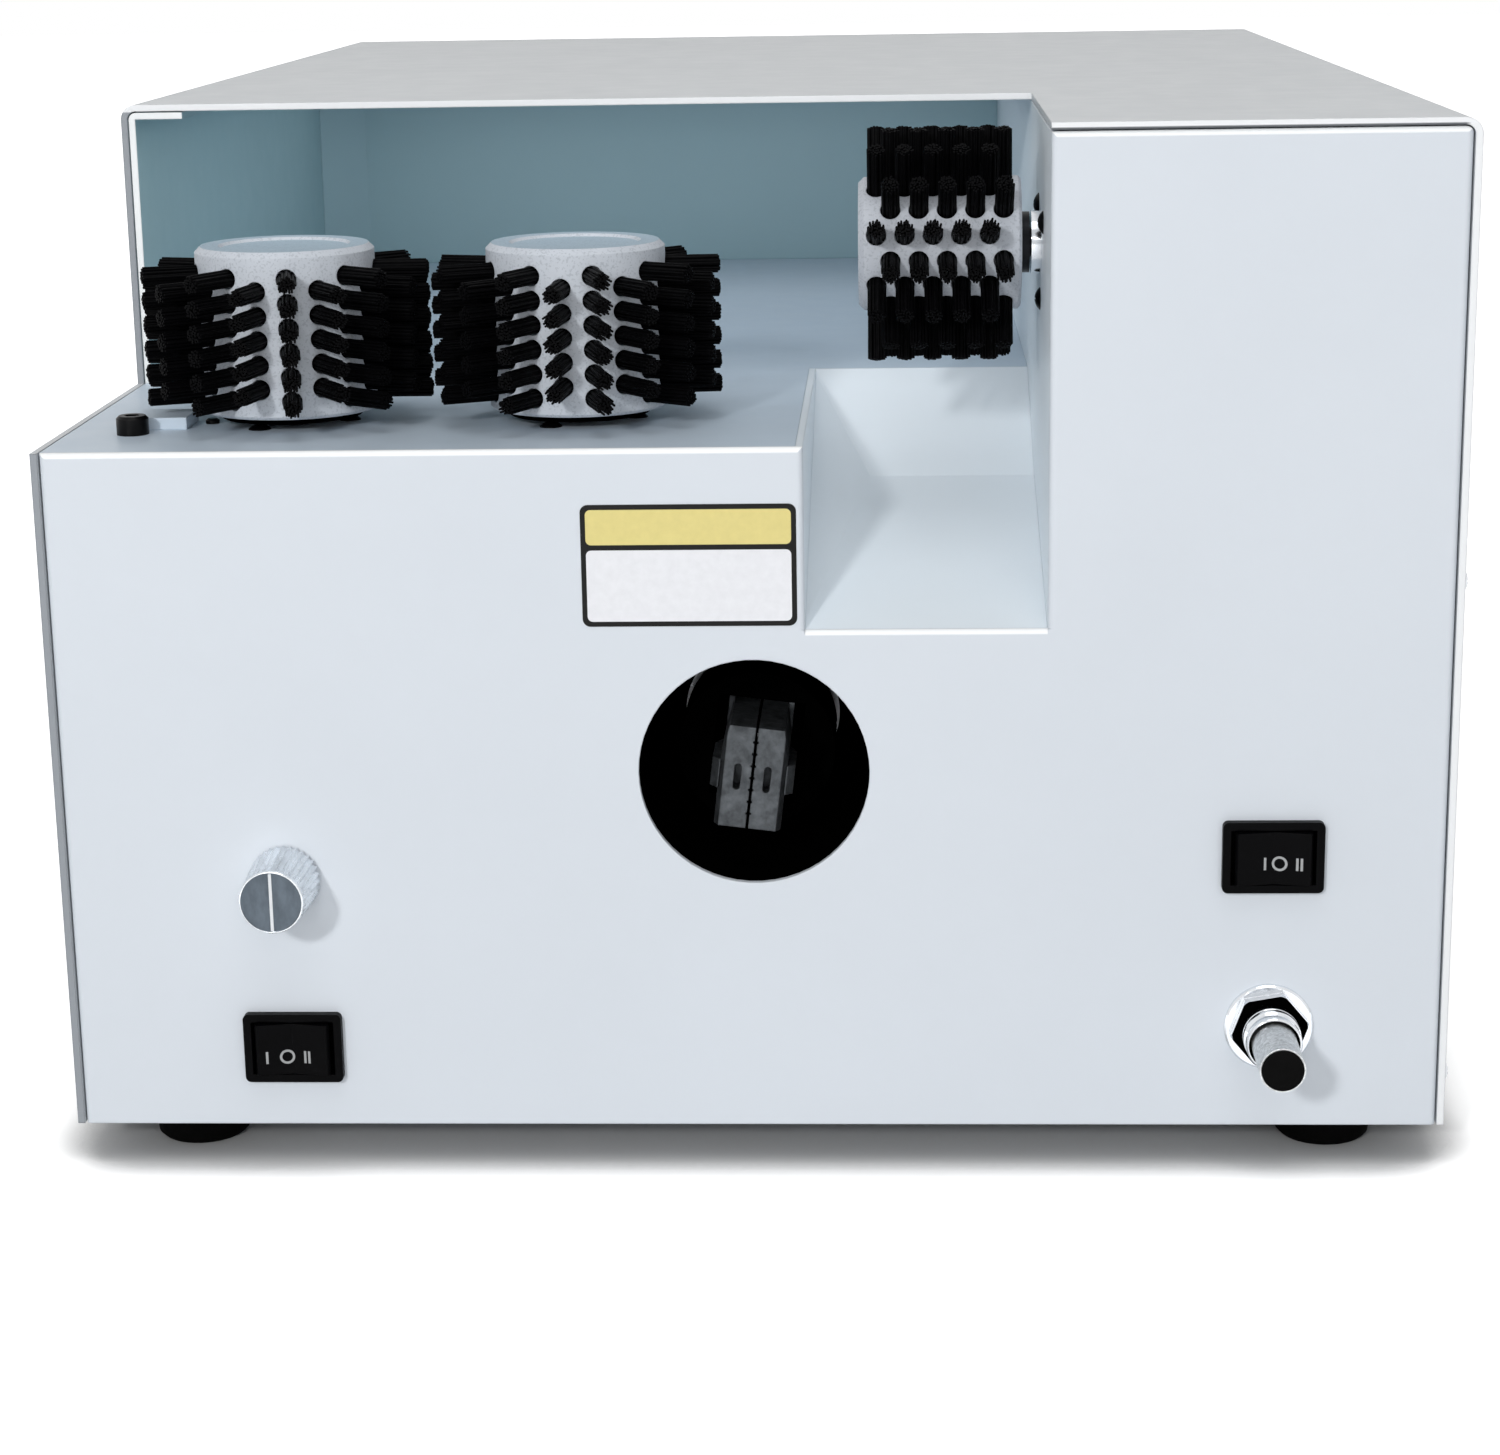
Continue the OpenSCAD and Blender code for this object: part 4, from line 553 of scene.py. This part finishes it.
def upright_seats(x, y, turn):
    """Seats in columns round an upright hub, every second column one tuft shorter."""
    for i in range(COLUMNS):
        angle = math.radians(turn + i * 360 / COLUMNS)
        outward = Vector((math.cos(angle), math.sin(angle), 0))
        count = COLUMN_TUFTS - i % 2
        for j in range(count):
            z = HUB_Z + HUB_L / 2 - COLUMN_DROP + (j - (count - 1) / 2) * TUFT_PITCH
            yield (spot(x, y, z) + outward * (HUB_R - TUFT_SEAT) * MM, outward,
                   Vector((0, 0, 1)))


def cross_seats():
    """Seats in rows round the lying hub, every second row half a pitch further."""
    for i in range(ROWS):
        angle = math.radians(CROSS_TURN - 90 + i * 360 / ROWS)
        outward = Vector((0, math.sin(angle), math.cos(angle)))
        shift = (0.5 - i % 2) * ROW_PITCH / 2
        for j in range(ROW_TUFTS):
            x = CROSS_END - CROSS_L / 2 - shift - (j - (ROW_TUFTS - 1) / 2) * ROW_PITCH
            yield (spot(x, CROSS_Y, CROSS_Z) + outward * (CROSS_R - TUFT_SEAT) * MM, outward,
                   Vector((1, 0, 0)))


BRUSHES = [(body, upright_seats(x, y, turn), BRUSH_R - HUB_R)
           for body, (x, y, turn) in UPRIGHTS.items()]
BRUSHES.append(("cross_brush", cross_seats(), CROSS_BRUSH_R - CROSS_R))

for number, (body, seats, reach) in enumerate(BRUSHES):
    tufts(body, seats, reach + TUFT_SEAT, number * SEED_STEP)


# Marks and label

INK_WHITE = flat_finish("white_print", tone(160, 162, 163))
LINE_WHITE = flat_finish("white_inlay", tone(225, 228, 231))
INK_BLACK = flat_finish("black_print", tone(14, 14, 13), 0.35, shine=0.15)
FILM_WHITE = flat_finish("white_film", tone(230, 231, 235), 0.35)
FILM_YELLOW = flat_finish("yellow_film", tone(220, 206, 132), 0.35)

LABEL_X0, LABEL_X1, LABEL_Z0, LABEL_Z1, LABEL_ROUND = -33.5, 10.6, 118.1, 143.5, 1.6
LABEL_EDGE, LABEL_HEAD, LABEL_BAR, FILM_T, FILM_PROUD = 1.05, 7.3, 1.1, 0.12, 0.04

# Rockers: X and Z of each, and its marks' Z and their places across: stroke, ring and pair.
# A mark's front and back are lifted off the rocker's sloping face.
SWITCHES = {"power": (-98.0, 26.8, -1.7, (-5.4, -1.2, 3.1)),
            "direction": (108.6, 68.6, -1.1, (-1.8, 1.2, 5.2))}
BEZEL_T, ROCKER_SLOPE = 2.0, math.tan(math.radians(12))
MARK_R, MARK_W, MARK_GAP, MARK_LIFTS = 1.35, 0.5, 0.45, (0.04, -0.06)
CORNER_STEPS, RING_STEPS = 6, 24


def rounded_outline(x0, x1, z0, z1, r):
    """Corner points of a rounded rectangle seen from the front, in order."""
    points = []
    for cx, cz, start in ((x1 - r, z1 - r, 0), (x0 + r, z1 - r, 90), (x0 + r, z0 + r, 180),
                          (x1 - r, z0 + r, 270)):
        for k in range(CORNER_STEPS + 1):
            a = math.radians(start + 90 * k / CORNER_STEPS)
            points.append((cx + r * math.cos(a), cz + r * math.sin(a)))
    return points


def plate(bm, outline, y_front, y_back, finish=0):
    """A thin plate with this outline, seen from the front, between two depths."""
    front = [bm.verts.new(spot(x, y_front, z)) for x, z in outline]
    back = [bm.verts.new(spot(x, y_back, z)) for x, z in outline]
    faces = [bm.faces.new(front), bm.faces.new(back[::-1])]
    for i in range(len(outline)):
        j = (i + 1) % len(outline)
        faces.append(bm.faces.new((front[j], front[i], back[i], back[j])))
    for face in faces:
        face.material_index = finish


def blank_label():
    """The sticker without its text: a black ground, a yellow head and a white field."""
    bm = bmesh.new()
    x0, x1, r = LABEL_X0 + LABEL_EDGE, LABEL_X1 - LABEL_EDGE, LABEL_ROUND - LABEL_EDGE / 2
    z0, z1 = LABEL_Z0 + LABEL_EDGE, LABEL_Z1 - LABEL_EDGE
    split = z1 - LABEL_HEAD
    ground = rounded_outline(LABEL_X0, LABEL_X1, LABEL_Z0, LABEL_Z1, LABEL_ROUND)
    plate(bm, ground, -FILM_T, 0.0)
    for finish, (low, high) in enumerate(((split, z1), (z0, split - LABEL_BAR)), 1):
        field = rounded_outline(x0, x1, low, high, r)
        plate(bm, field, -FILM_T - FILM_PROUD, -FILM_T / 2, finish)
    finished("blank_label", meshed(bm, "blank_label", INK_BLACK, FILM_YELLOW, FILM_WHITE),
             "housing")


def mark_strip(bm, x, z, path):
    """A printed line that follows a closed or open path on a rocker's sloping face."""
    closed = path[0] == path[-1]
    points = path[:-1] if closed else path
    n = len(points)
    rows = []
    for i, (u, w) in enumerate(points):
        before = points[i - 1] if closed or i else points[i]
        after = points[(i + 1) % n] if closed or i < n - 1 else points[i]
        du, dw = after[0] - before[0], after[1] - before[1]
        half = MARK_W / 2 / math.hypot(du, dw)
        sides = [(u - s * dw * half, w + s * du * half) for s in (-1, 1)]
        rows.append([bm.verts.new(spot(x + a, -BEZEL_T - abs(a) * ROCKER_SLOPE - lift, z + b))
                     for lift in MARK_LIFTS for a, b in sides])
    for i in range(n if closed else n - 1):
        a, b = rows[i], rows[(i + 1) % n]
        bm.faces.new((a[0], a[1], b[1], b[0]))
        bm.faces.new((a[2], b[2], b[3], a[3]))
        bm.faces.new((a[0], b[0], b[2], a[2]))
        bm.faces.new((a[1], a[3], b[3], b[1]))
    if not closed:
        for row in (rows[0], rows[-1]):
            bm.faces.new((row[0], row[1], row[3], row[2]))


def rocker_marks(name, x, z, low, across):
    """The stroke, ring and two strokes of a three-position switch."""
    bm = bmesh.new()
    stroke, ring_u, pair = across
    turns = [math.tau * k / RING_STEPS for k in range(RING_STEPS)]
    ring = [(ring_u + MARK_R * math.cos(a), low + MARK_R * math.sin(a)) for a in turns]
    mark_strip(bm, x, z, ring + ring[:1])
    for u in (stroke, pair - MARK_GAP, pair + MARK_GAP):
        mark_strip(bm, x, z, [(u, low - MARK_R), (u, low), (u, low + MARK_R)])
    finished(name + "_marks", meshed(bm, name, INK_WHITE), name + "_rocker")


blank_label()
for name, (x, z, low, across) in SWITCHES.items():
    rocker_marks(name, x, z, low, across)


# Knob, socket and clamp spring

# Knob: its place and size, its ribs, its hollow foot, and the line inlaid in its face
KNOB_X, KNOB_Z, KNOB_FOOT, KNOB_L, KNOB_R, KNOB_FACE_R = -98.0, 64.0, 0.5, 16.0, 7.6, 6.7
KNOB_RIBS, RIB_STEPS, RIB_DEPTH, RIB_CURVE = 32, 8, 0.5, 0.6
RIB_REACHES = (0.2, 5.5, 10.0, KNOB_L - 1.4)
KNOB_RECESS, KNOB_WALL, KNOB_FOOT_EDGE = 3.5, 1.6, 0.7
LINE_HALF, LINE_END, LINE_ROUND, LINE_SUNK, LINE_DEPTH = 0.32, 0.5, 0.2, 0.06, 0.5

# The knob's rim: how far behind its tip, how far outside its face, and the finish
KNOB_RIM = ((1.1, 0.05, 0), (0.25, 0, 0), (0, -0.2, 0), (0, -0.34, 1), (0.12, -0.44, 1))

# Socket: its place, nut, washer and bush; points closer than WELD metres become one
SOCKET_X, SOCKET_Z, SOCKET_STEPS, WELD = 108.6, 31.2, 144, 1e-7
NUT_R, NUT_T, NUT_TURN, NUT_EDGE, NUT_CORNER = 8.3, 3.4, 10.0, 0.5, 0.35
WASHER_R, WASHER_T, WASHER_EDGE, BORE_GAP = 9.3, 1.2, 0.4, 0.05
BUSH_R, BUSH_L, BUSH_FLANGE_R, MOUTH_R, MOUTH_D = 6.0, 12.0, 7.8, 5.3, 2.0

# The bush's steps: how far before the panel, and how far inside its full radius
BUSH_STEPS = ((6.2, 0), (6.5, 0.3), (6.8, 0), (8, 0), (8.6, 0.6), (10, 0.6), (10.4, 0.2),
              (11.6, 0.2), (BUSH_L, 0.5))

# Clamp spring: the coil's steps in a turn, and the wire's sides
COIL_STEPS, WIRE_SIDES = 24, 12


def lathed(bm, x, z, profile, count):
    """Closed rings around an axis that runs front to back, for each reach, radius and finish.

    A ring's radius is a number or a function of the ring's angle. The profile starts and ends on
    the axis or where it began, and a face takes the finish of the ring that it starts from.
    """
    rings = []
    for reach, radius, _ in profile:
        if radius == 0:
            rings.append([bm.verts.new(spot(x, -reach, z))] * count)
            continue
        ring = []
        for k in range(count):
            a = math.tau * k / count
            r = radius(a) if callable(radius) else radius
            ring.append(bm.verts.new(spot(x + r * math.cos(a), -reach, z + r * math.sin(a))))
        rings.append(ring)
    for (a, b), (_, _, finish) in zip(zip(rings, rings[1:]), profile):
        for k in range(count):
            j = (k + 1) % count
            corners = list(dict.fromkeys((a[k], a[j], b[j], b[k])))
            bm.faces.new(corners).material_index = finish


def knob():
    """The knob with its fine ribs, bright rim, dark brushed face and inlaid line."""
    def ribbed(radius):
        return lambda a: radius - RIB_DEPTH * (0.5 - 0.5 * math.cos(KNOB_RIBS * a)) ** RIB_CURVE

    y, tip, face = KNOB_FOOT, KNOB_FOOT + KNOB_L, KNOB_FACE_R
    slope = (KNOB_R - face) / KNOB_L
    inside = KNOB_R - KNOB_WALL
    profile = [(y + KNOB_RECESS, 0, 0), (y + KNOB_RECESS, inside, 0), (y, inside, 0),
               (y, KNOB_R - KNOB_FOOT_EDGE, 0)]
    profile += [(y + reach, ribbed(KNOB_R - slope * reach), 0) for reach in RIB_REACHES]
    profile += [(tip - back, face + beyond, finish) for back, beyond, finish in KNOB_RIM]
    profile.append((tip - KNOB_RIM[-1][0], 0, 1))
    bm = bmesh.new()
    lathed(bm, KNOB_X, KNOB_Z, profile, KNOB_RIBS * RIB_STEPS)
    finished("speed_knob_shell", meshed(bm, "speed_knob_shell", FINISHES["knob_aluminium"],
                                        FINISHES["face_metal"]),
             "speed_knob", ["speed_knob"], angle=30)
    bm = bmesh.new()
    r = face - LINE_END
    outline = rounded_outline(KNOB_X - LINE_HALF, KNOB_X + LINE_HALF, KNOB_Z - r, KNOB_Z + r,
                              LINE_ROUND)
    plate(bm, outline, -tip + LINE_SUNK, -tip + LINE_DEPTH)
    finished("knob_line", meshed(bm, "knob_line", LINE_WHITE), "speed_knob")


def socket():
    """The washer and nut with its black front face, a painted dark reflection, and the stepped
    bush with a black mouth, painted shade.
    """
    side = math.radians(60)

    def hexagon(a):
        beside = (a - math.radians(NUT_TURN)) % side - side / 2
        return NUT_R * math.cos(side / 2) / math.cos(beside)

    def chamfered(a):
        return min(hexagon(a), NUT_R - NUT_CORNER)

    def piece(name, profile, replaced):
        bm = bmesh.new()
        lathed(bm, SOCKET_X, SOCKET_Z, profile, SOCKET_STEPS)
        bmesh.ops.remove_doubles(bm, verts=bm.verts, dist=WELD)
        finished(name, meshed(bm, name, FINISHES["chrome"], FINISHES["deep_black"]), "housing",
                 [replaced], angle=20)

    bore, floor_of_mouth = BUSH_R + BORE_GAP, BUSH_L - MOUTH_D
    # The nut's front face, finish 1, is black: a painted dark reflection
    piece("socket_nut_shell", [
        (0, bore, 0), (0, WASHER_R, 0), (WASHER_T - WASHER_EDGE, WASHER_R, 0),
        (WASHER_T, WASHER_R - WASHER_EDGE, 0), (WASHER_T, hexagon, 0),
        (NUT_T - NUT_EDGE, hexagon, 0), (NUT_T, chamfered, 1), (NUT_T, bore, 1), (0, bore, 0)],
        "socket_nut")
    # The bush's mouth, finish 1, is black: painted shade
    piece("socket_bush_shell", [
        (-BUSH_L, 0, 0), (-BUSH_L, BUSH_FLANGE_R, 0), (-SHEET_T, BUSH_FLANGE_R, 0),
        (-SHEET_T, BUSH_R, 0), *((reach, BUSH_R - inset, 0) for reach, inset in BUSH_STEPS),
        (BUSH_L, MOUTH_R, 1), (floor_of_mouth, MOUTH_R, 1), (floor_of_mouth, 0, 1)],
        "socket_bush")


def clamp_coil():
    """The return spring, drawn at one length; on the machine it shortens towards the solenoid as
    the push rod goes back.
    """
    steps = COIL_STEPS * SPRING_TURNS
    bm = bmesh.new()
    rings = []
    for i in range(steps + 1):
        turn = math.tau * i / COIL_STEPS
        back = SPRING_Y0 + (SPRING_Y1 - SPRING_Y0) * i / steps
        ring = []
        for k in range(WIRE_SIDES):
            around = math.tau * k / WIRE_SIDES
            r = SPRING_R + SPRING_WIRE_R * math.cos(around)
            ring.append(bm.verts.new(spot(SPRING_X + r * math.cos(turn),
                                          back + SPRING_WIRE_R * math.sin(around),
                                          SPRING_Z + r * math.sin(turn))))
        rings.append(ring)
    for a, b in zip(rings, rings[1:]):
        for k in range(WIRE_SIDES):
            j = (k + 1) % WIRE_SIDES
            bm.faces.new((a[k], b[k], b[j], a[j]))
    for ring in (rings[0], rings[-1]):
        bm.faces.new(ring)
    coil = finished("clamp_coil", meshed(bm, "clamp_coil", FINISHES["plated_steel"]), "housing",
                    ["clamp_spring"])
    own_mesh(coil)


knob()
socket()
clamp_coil()


# Floor, light and view

# To the camera and in reflections the floor has painted shade where the machine stands close over
# it, near and in a wider band, and a painted glow lifts it to white in the open, more so further
# away.
# The machine gets a plain pale floor's light.
FLOOR_HALF, FLOOR_BOUNCE = 6.0, (0.62, 0.63, 0.64, 1)
CONTACT_REACH, WIDE_SHADE_REACH, OCCLUSION_SAMPLES = 0.022, 0.09, 16
CONTACT_GREY, CONTACT_CLEAR = (0.3, 0.97), (0.54, 0.9)
WIDE_SHADE_SPAN, WIDE_SHADE_LIGHT = (0.5, 1.0), (0.78, 1.0)
AWAY_SPAN, AWAY_LIGHT = (0.25, 0.95), (0.75, 1.1)
WORLD_STRENGTH = 0.33


def floor_material():
    material = bpy.data.materials.new("pale_floor")
    material.use_nodes = True
    w = Wiring(material.node_tree)
    w.tree.nodes.clear()

    def open_within(reach):
        return w.get("ShaderNodeAmbientOcclusion", {"Distance": reach}, "AO",
                     samples=OCCLUSION_SAMPLES)

    rays = w.add("ShaderNodeLightPath").outputs
    seen = w.calc("MAXIMUM", rays["Is Camera Ray"], rays["Is Glossy Ray"])
    # Painted contact shade: greyer where the machine's underside is close
    near = open_within(CONTACT_REACH)
    grey = w.ranged(near, to=CONTACT_GREY)
    painted = w.get("ShaderNodeCombineColor", {"Red": grey, "Green": grey, "Blue": grey})
    colour = w.get("ShaderNodeMix", {"Factor": seen, "A": FLOOR_BOUNCE, "B": painted}, "Result",
                   data_type="RGBA")
    place = w.get("ShaderNodeTexCoord", key="Object")
    away = w.get("ShaderNodeVectorMath", {0: place}, "Value", operation="LENGTH")
    far = w.ranged(away, AWAY_SPAN, AWAY_LIGHT, interpolation_type="SMOOTHSTEP")
    clear = w.ranged(near, CONTACT_CLEAR, interpolation_type="SMOOTHSTEP")
    # A wider band of painted shade dims the glow near the machine
    soft = w.ranged(open_within(WIDE_SHADE_REACH), WIDE_SHADE_SPAN, WIDE_SHADE_LIGHT)
    lift = seen
    for share in (far, clear, soft):
        lift = w.calc("MULTIPLY", lift, share)
    matt = w.get("ShaderNodeBsdfDiffuse", {"Color": colour})
    glow = w.get("ShaderNodeEmission", {"Strength": lift})
    both = w.get("ShaderNodeAddShader", {0: matt, 1: glow})
    w.add("ShaderNodeOutputMaterial", {"Surface": both})
    return material


def floor():
    bm = bmesh.new()
    bm.faces.new([bm.verts.new((x * FLOOR_HALF, y * FLOOR_HALF, 0))
                  for x, y in ((-1, -1), (1, -1), (1, 1), (-1, 1))])
    ground = bpy.data.objects.new("floor", meshed(bm, "floor", floor_material()))
    scene.collection.objects.link(ground)


def sky():
    """An even white that is seen and reflected in full, and gives less light."""
    world = bpy.data.worlds.new("studio")
    scene.world = world
    world.use_nodes = True
    w = Wiring(world.node_tree)
    w.tree.nodes.clear()
    rays = w.add("ShaderNodeLightPath").outputs
    seen = rays["Is Camera Ray"]
    for kind in ("Is Glossy Ray", "Is Transmission Ray"):
        seen = w.calc("MAXIMUM", seen, rays[kind])
    strength = w.get("ShaderNodeMix", {"Factor": seen, "A": WORLD_STRENGTH, "B": 1.0}, "Result",
                     data_type="FLOAT")
    glow = w.get("ShaderNodeBackground", {"Color": (1, 1, 1, 1), "Strength": strength})
    w.add("ShaderNodeOutputWorld", {"Surface": glow})


def lamp(name, place, target, size, power, shines=True, seen=True):
    """A soft light that faces the target; it may be kept out of reflections or sight."""
    data = bpy.data.lights.new(name, "AREA")
    data.shape = "RECTANGLE"
    data.size, data.size_y = size
    data.energy = power
    light = bpy.data.objects.new(name, data)
    light.visible_glossy = shines
    light.visible_camera = seen
    light.location = place
    light.rotation_euler = (Vector(target) - Vector(place)).to_track_quat("-Z", "Y").to_euler()
    scene.collection.objects.link(light)


# The photograph's view: film in millimetres, focal length and width in its pixels, turns in
# radians, eye in the frame's millimetres
FILM, FOCAL_PX, WIDTH_PX = 36, 3200, 1500
PITCH, YAW, ROLL, EYE = 0.2541, -0.0483, -0.0167, (31.4547, -837.756, 262.8833)


def camera():
    forward = Vector((math.sin(YAW) * math.cos(PITCH), math.cos(YAW) * math.cos(PITCH),
                      -math.sin(PITCH)))
    right = Vector((math.cos(YAW), -math.sin(YAW), 0))
    up = right.cross(forward)
    turned_right = math.cos(ROLL) * right + math.sin(ROLL) * up
    turned_up = -math.sin(ROLL) * right + math.cos(ROLL) * up
    data = bpy.data.cameras.new("camera")
    data.sensor_width = FILM
    data.sensor_fit = "HORIZONTAL"
    data.lens = FILM * FOCAL_PX / WIDTH_PX
    data.clip_start, data.clip_end = 0.01, 50
    eye = bpy.data.objects.new("camera", data)
    axes = Matrix((turned_right, turned_up, -forward)).transposed().to_4x4()
    axes.translation = Vector(EYE) * MM
    eye.matrix_world = axes
    scene.collection.objects.link(eye)
    scene.camera = eye


floor()
sky()
lamp("key", (-0.58, -2.0, 0.85), target=(0, 0, 0.1), size=(0.16, 0.16), power=14.5)
lamp("softbox", (0.15, -2.2, 0.8), target=(0, 0, 0.12), size=(1.2, 0.8), power=7.5, shines=False)
lamp("front_strip", (0.1, -2.3, 0.37), target=(0, 0, 0.19), size=(1.8, 0.16), power=4,
     shines=False)
lamp("overhead", (0.1, -0.8, 1.9), target=(0, 0, 0.12), size=(1.0, 1.0), power=6.3)
lamp("bay_fill", (-0.04, -0.01, 0.2145), target=(-0.04, -0.01, 0), size=(0.19, 0.28),
     power=0.056, shines=False, seen=False)
camera()
scene.view_settings.view_transform = "Standard"
